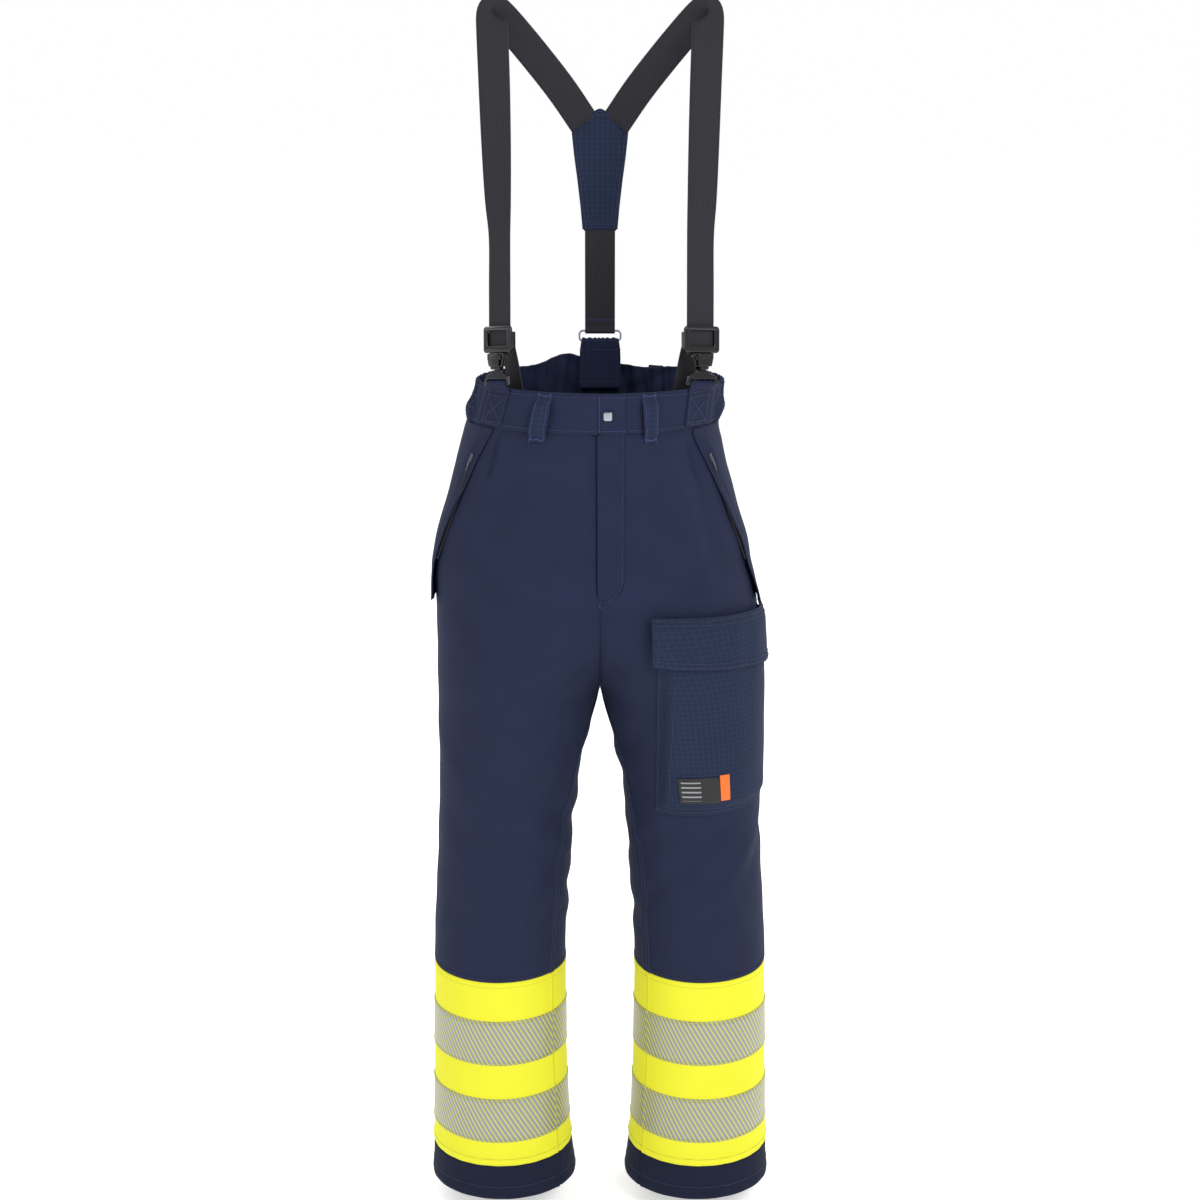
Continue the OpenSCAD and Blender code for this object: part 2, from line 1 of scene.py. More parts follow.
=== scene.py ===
"""Bunker pants with braces: cloth, trim, hardware and stage around the loaded frame."""
import json
import math

import bmesh
import bpy
import numpy as np
from mathutils import Matrix, Vector
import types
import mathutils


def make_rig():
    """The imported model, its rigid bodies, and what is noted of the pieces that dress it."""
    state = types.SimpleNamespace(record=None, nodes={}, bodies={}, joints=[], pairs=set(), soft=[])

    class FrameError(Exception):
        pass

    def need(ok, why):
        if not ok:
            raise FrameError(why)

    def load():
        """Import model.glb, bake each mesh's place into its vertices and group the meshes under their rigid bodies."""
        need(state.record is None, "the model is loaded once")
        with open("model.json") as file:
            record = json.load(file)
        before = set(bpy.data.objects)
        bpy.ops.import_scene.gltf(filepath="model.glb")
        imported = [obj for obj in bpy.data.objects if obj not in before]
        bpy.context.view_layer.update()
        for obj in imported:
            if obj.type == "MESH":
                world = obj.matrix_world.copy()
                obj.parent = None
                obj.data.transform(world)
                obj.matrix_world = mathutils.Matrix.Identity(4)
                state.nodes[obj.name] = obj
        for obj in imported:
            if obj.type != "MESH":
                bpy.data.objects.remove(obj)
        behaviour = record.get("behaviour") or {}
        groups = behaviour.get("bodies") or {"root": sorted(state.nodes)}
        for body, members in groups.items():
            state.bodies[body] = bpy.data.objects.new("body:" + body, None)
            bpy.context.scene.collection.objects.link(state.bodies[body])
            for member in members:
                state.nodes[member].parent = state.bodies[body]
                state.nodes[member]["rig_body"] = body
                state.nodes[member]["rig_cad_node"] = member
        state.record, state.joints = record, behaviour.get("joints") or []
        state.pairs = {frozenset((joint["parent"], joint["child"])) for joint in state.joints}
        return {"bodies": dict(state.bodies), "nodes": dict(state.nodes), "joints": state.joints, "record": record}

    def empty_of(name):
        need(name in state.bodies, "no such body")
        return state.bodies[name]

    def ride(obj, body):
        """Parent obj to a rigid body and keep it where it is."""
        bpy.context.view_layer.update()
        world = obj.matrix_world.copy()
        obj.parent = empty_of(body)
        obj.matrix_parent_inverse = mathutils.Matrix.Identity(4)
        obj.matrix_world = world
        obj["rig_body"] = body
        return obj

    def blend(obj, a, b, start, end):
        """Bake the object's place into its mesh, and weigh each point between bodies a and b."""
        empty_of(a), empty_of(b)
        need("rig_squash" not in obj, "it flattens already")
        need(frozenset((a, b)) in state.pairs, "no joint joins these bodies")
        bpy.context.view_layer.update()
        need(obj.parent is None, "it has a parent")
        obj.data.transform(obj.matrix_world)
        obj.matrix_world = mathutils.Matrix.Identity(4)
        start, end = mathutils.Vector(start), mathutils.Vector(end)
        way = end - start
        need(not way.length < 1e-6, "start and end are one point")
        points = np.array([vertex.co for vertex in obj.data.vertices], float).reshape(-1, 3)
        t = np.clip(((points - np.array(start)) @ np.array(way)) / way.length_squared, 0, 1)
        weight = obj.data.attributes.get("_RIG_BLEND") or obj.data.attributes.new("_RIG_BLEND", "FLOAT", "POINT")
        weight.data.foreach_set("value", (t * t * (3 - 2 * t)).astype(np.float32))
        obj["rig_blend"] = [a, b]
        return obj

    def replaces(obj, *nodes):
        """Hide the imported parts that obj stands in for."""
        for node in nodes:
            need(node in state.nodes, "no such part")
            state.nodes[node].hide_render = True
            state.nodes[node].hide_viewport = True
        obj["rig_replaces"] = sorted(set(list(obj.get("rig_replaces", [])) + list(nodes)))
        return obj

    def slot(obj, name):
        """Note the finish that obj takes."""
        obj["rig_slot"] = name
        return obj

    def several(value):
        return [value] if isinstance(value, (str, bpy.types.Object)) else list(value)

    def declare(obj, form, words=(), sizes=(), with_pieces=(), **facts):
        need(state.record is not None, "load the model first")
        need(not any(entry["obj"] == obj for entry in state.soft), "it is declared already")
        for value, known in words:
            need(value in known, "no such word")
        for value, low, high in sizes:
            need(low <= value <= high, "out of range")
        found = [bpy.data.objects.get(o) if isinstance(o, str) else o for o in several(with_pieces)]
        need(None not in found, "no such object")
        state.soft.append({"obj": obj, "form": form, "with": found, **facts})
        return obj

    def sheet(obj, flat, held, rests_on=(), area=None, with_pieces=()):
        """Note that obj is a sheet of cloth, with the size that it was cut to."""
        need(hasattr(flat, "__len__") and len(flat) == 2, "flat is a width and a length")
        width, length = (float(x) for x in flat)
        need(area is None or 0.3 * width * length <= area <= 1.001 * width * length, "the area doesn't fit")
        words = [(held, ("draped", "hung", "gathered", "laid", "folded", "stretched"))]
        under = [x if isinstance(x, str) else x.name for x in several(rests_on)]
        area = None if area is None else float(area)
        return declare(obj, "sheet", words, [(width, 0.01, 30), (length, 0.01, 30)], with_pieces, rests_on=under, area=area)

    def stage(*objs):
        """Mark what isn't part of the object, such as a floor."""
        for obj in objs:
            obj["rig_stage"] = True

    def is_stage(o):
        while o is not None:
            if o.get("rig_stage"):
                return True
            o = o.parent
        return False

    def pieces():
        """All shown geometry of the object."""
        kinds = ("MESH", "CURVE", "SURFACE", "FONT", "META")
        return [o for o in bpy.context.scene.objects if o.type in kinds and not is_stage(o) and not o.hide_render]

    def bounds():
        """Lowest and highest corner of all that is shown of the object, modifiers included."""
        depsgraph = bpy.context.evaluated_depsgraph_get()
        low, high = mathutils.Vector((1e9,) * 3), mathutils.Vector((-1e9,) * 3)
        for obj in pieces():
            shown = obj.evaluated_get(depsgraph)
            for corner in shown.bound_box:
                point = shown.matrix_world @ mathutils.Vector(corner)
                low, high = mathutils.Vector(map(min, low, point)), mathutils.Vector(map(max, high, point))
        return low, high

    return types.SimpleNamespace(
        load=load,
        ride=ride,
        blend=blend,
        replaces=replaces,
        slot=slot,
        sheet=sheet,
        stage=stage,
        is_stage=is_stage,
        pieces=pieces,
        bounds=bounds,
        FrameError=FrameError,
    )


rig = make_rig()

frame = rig.load()
CAD_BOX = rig.bounds()

bl_info = {
    "name": "Bunker pants",
    "version": (1, 0, 0),
    "blender": (4, 5, 0),
    "location": "View3D > Sidebar > Bunker pants",
    "description": "Builds the cloth, trim and hardware of a pair of bunker pants",
    "category": "Add Mesh",
}

MM = 0.001

# ---------------------------------------------------------------- body shape
# Sections of one half: height, centre x, centre y, half width, half depth, in mm.
SECTIONS = np.array([
    [60, 0, 0, 153, 120], [0, 0, 0, 155, 122], [-50, 6, 0, 152, 126.5],
    [-105, 16, 0, 154, 127.3], [-155, 26, 0, 158, 127.8], [-205, 34, 1, 165, 129],
    [-250, 44, 2, 161, 131.5], [-290, 58, 3, 149.5, 133], [-330, 76, 3, 132.5, 132],
    [-360, 90, 3, 119.5, 129], [-385, 100.5, 3, 109.5, 125], [-398, 104.6, 3, 105, 122.5],
    [-430, 108, 3, 102, 117], [-475, 114, 3, 96.5, 111], [-530, 119.5, 3, 91, 106],
    [-600, 125, 4, 88, 101], [-665, 128, 4, 88, 98], [-740, 133, 5, 87, 95],
    [-790, 134.5, 5, 88, 94], [-900, 135.5, 3, 89.5, 94], [-1000, 135, 2, 91.5, 95],
    [-1050, 134, 1, 94, 96], [-1100, 132, 0, 98, 98],
])[::-1] * MM
ARC = 110 * MM
BAND_H = 50 * MM
FLY_END = -264 * MM
FLY_AXIS = 31 * MM
FLY_BEND = 34 * MM
LEG_END = -1100 * MM
HEM_TOP = LEG_END + 48 * MM
CUFF_TOP = HEM_TOP + 262 * MM
TAPE_H = 62 * MM
LOWER_TAPE = HEM_TOP + 34 * MM
UPPER_TAPE = LOWER_TAPE + TAPE_H + 49 * MM
CROTCH = -399 * MM
CARGO_TOP = -290 * MM
CARGO_BOTTOM = -552 * MM
CARGO_FRONT = 73 * MM
CARGO_REAR = 8


def section(z, k):
    """One value of the sections at heights z, rounded off between the stations."""
    total = 0
    for step, share in ((-12, 0.25), (0, 0.5), (12, 0.25)):
        total = total + share * np.interp(z + step * MM, SECTIONS[:, 0], SECTIONS[:, k])
    return total


def skin(z, a, off=0.0):
    """Points of the wearer's left half: angle a from the side seam, minus to the front."""
    r = np.radians(a)
    x = section(z, 1) + (section(z, 3) + off) * np.cos(r)
    y = section(z, 2) + (section(z, 4) + off) * np.sin(r)
    return np.stack(np.broadcast_arrays(x, y, z + 0 * x), -1)


def angle_at(z, x, off=0.0):
    """The angle at which the half reaches a distance x from the middle plane."""
    return np.degrees(np.arccos(np.clip((x - section(z, 1)) / (section(z, 3) + off), -1, 1)))


def ease(low, high, value):
    t = np.clip((value - low) / (high - low), 0, 1)
    return t * t * (3 - 2 * t)


# Soft folds in the cloth: side, start angle and height, end angle and height in mm,
# width in mm and rise in mm. A negative rise is a hollow.
FOLDS = (
    (-1, -45.5, -44, -42, -118, 3.2, -3.4), (-1, -48, -44, -44.5, -116, 4, 1.6),
    (1, -43.5, -60, -41, -122, 3.2, -2.6), (1, -46, -60, -43.5, -120, 4, 1.2),
    (-1, -46, -62, -60, -250, 15, -2.6), (-1, -56, -62, -74, -220, 14, 1.8),
    (-1, -98, -330, -128, -392, 15, 2.2), (-1, -86, -362, -140, -408, 11, -2.4),
    (-1, -60, -420, -150, -520, 20, 2.2), (-1, -90, -510, -168, -588, 13, -2.8),
    (-1, -96, -560, -170, -630, 12, 2.6), (-1, -30, -560, -104, -640, 18, -1.8),
    (-1, -110, -650, -172, -700, 11, 2.2), (-1, -40, -690, -110, -752, 16, -1.6),
    (-1, -10, -450, -70, -540, 20, 1.6), (-1, -70, -640, -20, -730, 15, 1.8),
    (1, -42, -62, -44, -230, 14, -2.8), (1, -54, -90, -52, -262, 15, 1.8),
    (1, -70, -120, -80, -276, 18, -1.5), (1, -96, -330, -132, -394, 13, 2.2),
    (1, -112, -420, -160, -500, 12, -2.2), (1, -118, -560, -174, -620, 12, 2.6),
    (1, -60, -570, -120, -650, 17, -2.2), (1, -30, -600, -86, -690, 16, 2.0),
    (1, -120, -660, -172, -722, 11, -2.4), (1, -66, -690, -20, -770, 15, 1.8),
    (1, 10, -590, -40, -640, 14, -1.8),
    (0, 100, -330, 150, -398, 14, 3.0), (0, 70, -395, 140, -440, 16, -3.2),
    (0, 50, -430, 130, -490, 15, 3.0), (0, 30, -180, 80, -330, 20, -2.4),
    (0, 90, -560, 150, -640, 14, 3.0), (0, 40, -600, 110, -660, 15, -2.8),
    (0, 60, -640, 140, -720, 15, 2.8), (0, 20, -690, 70, -760, 14, 2.0),
    (0, 62, -70, 66, -190, 12, -2.0),
)


def drape(side, z, a):
    """How far the cloth stands from the plain shape: folds, and a slow unevenness."""
    a = (a + 180) % 360 - 180
    r = np.radians(a)
    rise = np.zeros(np.broadcast(z, a).shape)
    for fold_side, a0, z0, a1, z1, width, height in FOLDS:
        if fold_side and fold_side != side:
            continue
        p = np.array([math.radians(a0) * ARC, z0 * MM])
        run = np.array([math.radians(a1) * ARC, z1 * MM]) - p
        for turn in (-2 * math.pi, 0, 2 * math.pi):
            arc = (r + turn) * ARC
            t = ((arc - p[0]) * run[0] + (z - p[1]) * run[1]) / (run @ run)
            away = (arc - p[0] - t * run[0]) ** 2 + (z - p[1] - t * run[1]) ** 2
            taper = ease(-0.15, 0.25, t) * ease(1.2, 0.75, t)
            rise += 1.3 * height * MM * taper * np.exp(-away / (width * MM) ** 2)
    slow = (np.sin(90 * z + side + 2 * r) + np.sin(3 * r - z * 23 + 2 * side)
            + 0.7 * np.sin(6 * r + z * 41)) * 0.35 * MM
    calm = ease(-51 * MM, -66 * MM, z) * (1 - 0.75 * ease(CUFF_TOP + 0.07, CUFF_TOP, z))
    inner = ease(150, 178, np.abs(a)) * ease(CROTCH - 0.03, CROTCH - 0.1, z)
    bumps = inner * ease(CUFF_TOP - 0.01, CUFF_TOP + 0.08, z)
    rise += bumps * 1.6 * MM * (np.sin(z * 75 + side) + 0.7 * np.sin(z * 128 + 2 * side))
    middle = ease(3 * MM, 34 * MM, np.abs(skin(z, a)[..., 0]))
    middle = np.maximum(middle, ease(CROTCH - 0.02, CROTCH - 0.06, z))
    return (rise + slow) * calm * middle


LEAN = np.array([[-1100, 0], [-400, -1], [-300, -4], [-232, -11], [-62, -11],
                 [-35, -6], [-5, 0], [60, 0]]) * MM


def lean(z, x):
    """The sides of the waist hang a little towards the wearer's right."""
    return np.interp(z, LEAN[:, 0], LEAN[:, 1]) * ease(0.03, 0.12, np.abs(x))


def cloth(side, z, a, off=0.0, uneven=1.0):
    """A grid on the hanging cloth of one side; columns always run so that it faces out."""
    z, a = np.broadcast_arrays(np.asarray(z, float), np.asarray(a, float))
    points = skin(z, a, off + uneven * drape(side, z, a))
    points[..., 0] = points[..., 0] * side + lean(z, points[..., 0])
    return points


# ---------------------------------------------------------------- mesh making
FLATS = {}


def measured(grid):
    """Width, length and area of a grid laid flat."""
    across = np.linalg.norm(np.diff(grid, axis=1), axis=-1)
    down = np.linalg.norm(np.diff(grid, axis=0), axis=-1)
    sides = np.cross(grid[1:, :-1] - grid[:-1, :-1], grid[:-1, 1:] - grid[:-1, :-1])
    return [float(across.sum(1).max()), float(down.sum(0).max()),
            float(np.linalg.norm(sides, axis=-1).sum())]


def facing(grid):
    down, across = np.gradient(grid, axis=0), np.gradient(grid, axis=1)
    n = np.cross(down, across)
    return n / np.maximum(np.linalg.norm(n, axis=-1, keepdims=True), 1e-12)


def new_mesh(name, points, faces, uv, material, smooth=True):
    mesh = bpy.data.meshes.new(name)
    mesh.from_pydata([tuple(p) for p in points], [], [tuple(int(i) for i in f) for f in faces])
    layer = mesh.uv_layers.new(name="cloth")
    loops = np.empty(len(mesh.loops), int)
    mesh.loops.foreach_get("vertex_index", loops)
    layer.data.foreach_set("uv", np.asarray(uv, np.float32)[loops].ravel())
    mesh.polygons.foreach_set("use_smooth", [smooth] * len(mesh.polygons))
    mesh.materials.append(material)
    mesh.update()
    piece = bpy.data.objects.new(name, mesh)
    bpy.context.scene.collection.objects.link(piece)
    return piece


def sheet_mesh(name, grid, uv, thick, material, side=1, closed=False):
    """A sheet with a rounded rim: outer grid, inner grid and a middle line at each edge."""
    FLATS[name] = measured(grid)
    if side < 0:
        grid, uv = grid[:, ::-1], uv[:, ::-1]
    if closed:
        wide = np.concatenate([grid[:, -2:-1], grid, grid[:, 1:2]], 1)
        n = facing(wide)[:, 1:-1]
    else:
        n = facing(grid)
    inner = grid - n * thick
    rows, cols = grid.shape[:2]
    count = rows * cols
    index = np.arange(count).reshape(rows, cols)
    quads = np.stack([index[:-1, :-1], index[1:, :-1], index[1:, 1:], index[:-1, 1:]], -1)
    quads = quads.reshape(-1, 4)
    points = [grid.reshape(-1, 3), inner.reshape(-1, 3)]
    faces = [quads, quads[:, ::-1] + count]
    uvs = [uv.reshape(-1, 2), uv.reshape(-1, 2)]
    total = 2 * count
    edges = [(index[0], -1, 0), (index[-1], 1, 0)]
    if not closed:
        edges += [(index[:, 0], -1, 1), (index[:, -1], 1, 1)]
    flat, flat_in = points[0], points[1]
    for line, sign, axis in edges:
        if axis == 0:
            back = index[1] if sign < 0 else index[-2]
        else:
            back = index[:, 1] if sign < 0 else index[:, -2]
        out = flat[line] - flat[back]
        out /= np.maximum(np.linalg.norm(out, axis=-1, keepdims=True), 1e-12)
        middle = (flat[line] + flat_in[line]) / 2 + out * thick * 0.35
        points.append(middle)
        uvs.append(uvs[0][line])
        mid = total + np.arange(len(line))
        total += len(line)
        for a, b in ((line, mid), (mid, line + count)):
            strip = np.stack([a[:-1], a[1:], b[1:], b[:-1]], -1)
            turn = (sign < 0) == (axis == 0)
            faces.append(strip[:, ::-1] if not turn else strip)
    piece = new_mesh(name, np.concatenate(points), np.concatenate(faces),
                     np.concatenate(uvs), material)
    return tidy_mesh(piece)


def tidy_mesh(piece):
    """Merges doubled points and points the faces outwards."""
    bm = bmesh.new()
    bm.from_mesh(piece.data)
    bmesh.ops.remove_doubles(bm, verts=bm.verts, dist=1e-6)
    bmesh.ops.holes_fill(bm, edges=[e for e in bm.edges if e.is_boundary], sides=4)
    bmesh.ops.recalc_face_normals(bm, faces=bm.faces)
    bm.to_mesh(piece.data)
    bm.free()
    return piece


def chart(z, a):
    """Flat cloth measures for a grid: metres round the body and metres down it."""
    z, a = np.broadcast_arrays(np.asarray(z, float), np.asarray(a, float))
    return np.stack([np.radians(a) * 0.11, z], -1)


def declare(piece, held, rests_on=(), full=1.0, with_pieces=()):
    """Declares cloth by the size of its own grid; full is over 1 where it is gathered."""
    wide, long, area = FLATS[piece.name]
    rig.sheet(piece, flat=(wide * full, long), held=held, rests_on=list(rests_on),
             area=area * full, with_pieces=list(with_pieces))


def place(piece, body, slot, *nodes):
    """Hangs a piece on a body, names its material slot and the nodes it stands for."""
    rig.ride(piece, body)
    if nodes:
        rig.replaces(piece, *nodes)
    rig.slot(piece, slot)
    return piece


def leg_piece(name, side, z, a0, a1, t, thick, material, off=0.0, relief=None, uneven=1.0):
    """A cloth panel between two angles, which may change with the height; t runs across."""
    a0, a1 = np.broadcast_to(a0, z.shape), np.broadcast_to(a1, z.shape)
    a = a0[:, None] + (a1 - a0)[:, None] * t[None, :]
    zz = np.repeat(z[:, None], len(t), 1)
    extra = relief(zz, a, t[None, :] + 0 * a) if relief else 0.0
    grid = cloth(side, zz, a, off + extra, uneven)
    return sheet_mesh(name, grid, chart(zz, a), thick, material, side)


def ribbon(name, path, wide, width, thick, material, cols=7, crown=0.0, uv_width=None):
    """A flat band along a path; wide holds a direction across it for each point."""
    path, wide = np.asarray(path, float), np.asarray(wide, float)
    wide = wide / np.linalg.norm(wide, axis=1, keepdims=True)
    width = np.broadcast_to(width, len(path))[:, None]
    run = np.gradient(path, axis=0)
    n = np.cross(run, wide)
    n /= np.maximum(np.linalg.norm(n, axis=1, keepdims=True), 1e-12)
    s = np.linspace(-0.5, 0.5, cols)
    grid = (path[:, None] + wide[:, None] * (s[None, :] * width)[..., None]
            + n[:, None] * (thick / 2 + crown * (1 - 4 * s ** 2))[None, :, None])
    along = np.concatenate([[0], np.cumsum(np.linalg.norm(np.diff(path, axis=0), axis=1))])
    uv = np.stack(np.broadcast_arrays((s[None, :] * (uv_width or width)), along[:, None]), -1)
    return sheet_mesh(name, grid, uv, thick, material)


def curve_through(points, count):
    """A smooth open curve through a few points."""
    p = np.asarray(points, float)
    p = np.concatenate([[2 * p[0] - p[1]], p, [2 * p[-1] - p[-2]]])
    out = []
    spans = len(p) - 3
    for u in np.linspace(0, spans, count):
        i = min(int(u), spans - 1)
        t = u - i
        a, b, c, d = p[i:i + 4]
        out.append(0.5 * (2 * b + (c - a) * t + (2 * a - 5 * b + 4 * c - d) * t ** 2
                          + (3 * b - a - 3 * c + d) * t ** 3))
    return np.array(out)


def wire(name, path, radius, material, sides=10, closed=False):
    """A round wire swept along a path, with round-off at open ends."""
    path = np.asarray(path, float)
    if closed:
        run = np.roll(path, -1, 0) - np.roll(path, 1, 0)
    else:
        run = np.gradient(path, axis=0)
    run /= np.linalg.norm(run, axis=1, keepdims=True)
    guide = np.array([0.0, 0, 1]) if abs(run[0][2]) < 0.9 else np.array([0.0, 1, 0])
    u = []
    for r in run:
        guide = guide - r * (guide @ r)
        guide /= np.linalg.norm(guide)
        u.append(guide.copy())
    u = np.array(u)
    v = np.cross(run, u)
    turn = np.arange(sides) * 2 * math.pi / sides
    radius = np.broadcast_to(radius, len(path))
    ring = (path[:, None] + radius[:, None, None] * (u[:, None] * np.cos(turn)[None, :, None]
                                                     + v[:, None] * np.sin(turn)[None, :, None]))
    n = len(path)
    index = np.arange(n * sides).reshape(n, sides)
    last = n if closed else n - 1
    faces = [[index[i, j], index[i, (j + 1) % sides], index[(i + 1) % n, (j + 1) % sides],
              index[(i + 1) % n, j]] for i in range(last) for j in range(sides)]
    points = ring.reshape(-1, 3)
    if not closed:
        faces += [list(index[0][::-1]), list(index[-1])]
    uv = np.stack([np.tile(turn, n), np.repeat(np.arange(n), sides)], -1)
    return tidy_mesh(new_mesh(name, points, faces, uv, material))


def rounded(points, radius, steps=5):
    """A closed outline with its corners turned into arcs."""
    points = [np.array(p, float) for p in points]
    radius = radius if hasattr(radius, "__len__") else [radius] * len(points)
    out = []
    for i, p in enumerate(points):
        a = points[i - 1] - p
        b = points[(i + 1) % len(points)] - p
        la, lb = np.linalg.norm(a), np.linalg.norm(b)
        a, b = a / la, b / lb
        half = math.acos(float(np.clip(a @ b, -1, 1))) / 2
        reach = min(radius[i] / math.tan(half), 0.48 * la, 0.48 * lb)
        r = reach * math.tan(half)
        centre = p + (a + b) / np.linalg.norm(a + b) * (r / math.sin(half))
        p0, p1 = p + a * reach - centre, p + b * reach - centre
        start = math.atan2(p0[1], p0[0])
        sweep = (math.atan2(p1[1], p1[0]) - start + math.pi) % (2 * math.pi) - math.pi
        for k in range(steps + 1):
            t = start + sweep * k / steps
            out.append((centre[0] + r * math.cos(t), centre[1] + r * math.sin(t)))
    return out


def plate(name, outlines, thick, edge, material, matrix, bend=None):
    """A moulded plate: 2D outlines in mm, extruded, with rounded edges, then placed."""
    curve = bpy.data.curves.new(name, "CURVE")
    curve.dimensions = "2D"
    curve.fill_mode = "BOTH"
    curve.extrude = (thick / 2 - edge) * MM
    curve.bevel_depth = edge * MM
    curve.bevel_resolution = 2
    curve.offset = -edge * MM
    for outline in outlines:
        spline = curve.splines.new("POLY")
        spline.points.add(len(outline) - 1)
        for point, (x, y) in zip(spline.points, outline):
            point.co = (x * MM, y * MM, 0, 1)
        spline.use_cyclic_u = True
    holder = bpy.data.objects.new(name + "_curve", curve)
    bpy.context.scene.collection.objects.link(holder)
    bpy.context.view_layer.update()
    mesh = bpy.data.meshes.new_from_object(
        holder.evaluated_get(bpy.context.evaluated_depsgraph_get()))
    bpy.data.objects.remove(holder)
    mesh.name = name
    if bend:
        for vertex in mesh.vertices:
            vertex.co = bend(vertex.co)
    mesh.transform(matrix)
    mesh.materials.clear()
    mesh.materials.append(material)
    mesh.polygons.foreach_set("use_smooth", [True] * len(mesh.polygons))
    piece = bpy.data.objects.new(name, mesh)
    bpy.context.scene.collection.objects.link(piece)
    tidy_mesh(piece)
    mesh.set_sharp_from_angle(angle=math.radians(35))
    return piece


def join(name, pieces):
    """Joins loose pieces of one body into one mesh."""
    first = pieces[0]
    with bpy.context.temp_override(active_object=first, selected_editable_objects=pieces):
        bpy.ops.object.join()
    first.name = name
    first.data.name = name
    return first


# ---------------------------------------------------------------- stitches and teeth
STITCHES = {}


def stitch(body, line):
    """Notes a row of stitches for one body; sew() turns the rows into thread."""
    STITCHES.setdefault(body, []).append(np.asarray(line, float))


def repeat_tree(name, maker):
    """A node tree that sets small solids along curves: pitch, length and thickness."""
    tree = bpy.data.node_groups.new(name, "GeometryNodeTree")
    face = tree.interface
    face.new_socket("Geometry", in_out="INPUT", socket_type="NodeSocketGeometry")
    for label in ("Pitch", "Length", "Thickness"):
        socket = face.new_socket(label, in_out="INPUT", socket_type="NodeSocketFloat")
        socket.subtype = "DISTANCE"
    face.new_socket("Material", in_out="INPUT", socket_type="NodeSocketMaterial")
    face.new_socket("Geometry", in_out="OUTPUT", socket_type="NodeSocketGeometry")
    nodes, links = tree.nodes, tree.links
    given = nodes.new("NodeGroupInput")
    curve = nodes.new("GeometryNodeMeshToCurve")
    links.new(given.outputs["Geometry"], curve.inputs["Mesh"])
    points = nodes.new("GeometryNodeCurveToPoints")
    points.mode = "LENGTH"
    links.new(curve.outputs["Curve"], points.inputs["Curve"])
    links.new(given.outputs["Pitch"], points.inputs["Length"])
    solid = maker(nodes, links, given)
    spread = nodes.new("GeometryNodeInstanceOnPoints")
    links.new(points.outputs["Points"], spread.inputs["Points"])
    links.new(points.outputs["Rotation"], spread.inputs["Rotation"])
    links.new(solid, spread.inputs["Instance"])
    real = nodes.new("GeometryNodeRealizeInstances")
    links.new(spread.outputs["Instances"], real.inputs["Geometry"])
    dress = nodes.new("GeometryNodeSetMaterial")
    links.new(real.outputs["Geometry"], dress.inputs["Geometry"])
    links.new(given.outputs["Material"], dress.inputs["Material"])
    result = nodes.new("NodeGroupOutput")
    links.new(dress.outputs["Geometry"], result.inputs["Geometry"])
    return tree


def thread_solid(nodes, links, given):
    rod = nodes.new("GeometryNodeMeshCylinder")
    rod.inputs["Vertices"].default_value = 6
    links.new(given.outputs["Thickness"], rod.inputs["Radius"])
    links.new(given.outputs["Length"], rod.inputs["Depth"])
    return rod.outputs["Mesh"]


def tooth_solid(nodes, links, given):
    size = nodes.new("ShaderNodeCombineXYZ")
    links.new(given.outputs["Length"], size.inputs["X"])
    links.new(given.outputs["Length"], size.inputs["Y"])
    links.new(given.outputs["Thickness"], size.inputs["Z"])
    cube = nodes.new("GeometryNodeMeshCube")
    links.new(size.outputs["Vector"], cube.inputs["Size"])
    return cube.outputs["Mesh"]


def along_lines(name, lines, tree, pitch, length, thickness, material):
    """Runs a repeat tree over polylines and keeps the result as a plain mesh."""
    points, edges = [], []
    for line in lines:
        start = len(points)
        points += [tuple(p) for p in line]
        edges += [(start + i, start + i + 1) for i in range(len(line) - 1)]
    mesh = bpy.data.meshes.new(name)
    mesh.from_pydata(points, edges, [])
    holder = bpy.data.objects.new(name + "_lines", mesh)
    bpy.context.scene.collection.objects.link(holder)
    modifier = holder.modifiers.new("Repeat", "NODES")
    modifier.node_group = tree
    values = {"Pitch": pitch, "Length": length, "Thickness": thickness, "Material": material}
    for item in tree.interface.items_tree:
        if item.item_type == "SOCKET" and item.in_out == "INPUT" and item.name in values:
            modifier[item.identifier] = values[item.name]
    bpy.context.view_layer.update()
    made = bpy.data.meshes.new_from_object(
        holder.evaluated_get(bpy.context.evaluated_depsgraph_get()))
    made.name = name
    bpy.data.objects.remove(holder)
    piece = bpy.data.objects.new(name, made)
    bpy.context.scene.collection.objects.link(piece)
    return piece


# ---------------------------------------------------------------- finishes
class Num:
    """A number in a shader; arithmetic on it adds Math nodes."""

    def __init__(self, finish, socket):
        self.finish = finish
        self.socket = socket

    def op(self, kind, *others, first=None):
        values = [self, *others] if first is None else [first, self]
        inputs = dict(enumerate(values))
        return Num(self.finish, self.finish.node(
            "ShaderNodeMath", inputs, operation=kind).outputs[0])

    def __add__(self, other):
        return self.op("ADD", other)

    def __radd__(self, other):
        return self.op("ADD", other)

    def __sub__(self, other):
        return self.op("SUBTRACT", other)

    def __rsub__(self, other):
        return self.op("SUBTRACT", first=other)

    def __mul__(self, other):
        return self.op("MULTIPLY", other)

    def __rmul__(self, other):
        return self.op("MULTIPLY", other)

    def __truediv__(self, other):
        return self.op("DIVIDE", other)

    def wave(self, pitch):
        """A smooth 0 to 1 wave with this pitch."""
        return (self * (2 * math.pi / pitch)).op("COSINE") * 0.5 + 0.5

    def line(self, pitch, width):
        """1 on thin lines with this pitch and width, 0 between them."""
        away = ((self / pitch).op("FRACT") - 0.5).op("ABSOLUTE") * pitch
        return away.op("LESS_THAN", width / 2)

    def between(self, low, high):
        return self.op("GREATER_THAN", low) * self.op("LESS_THAN", high)


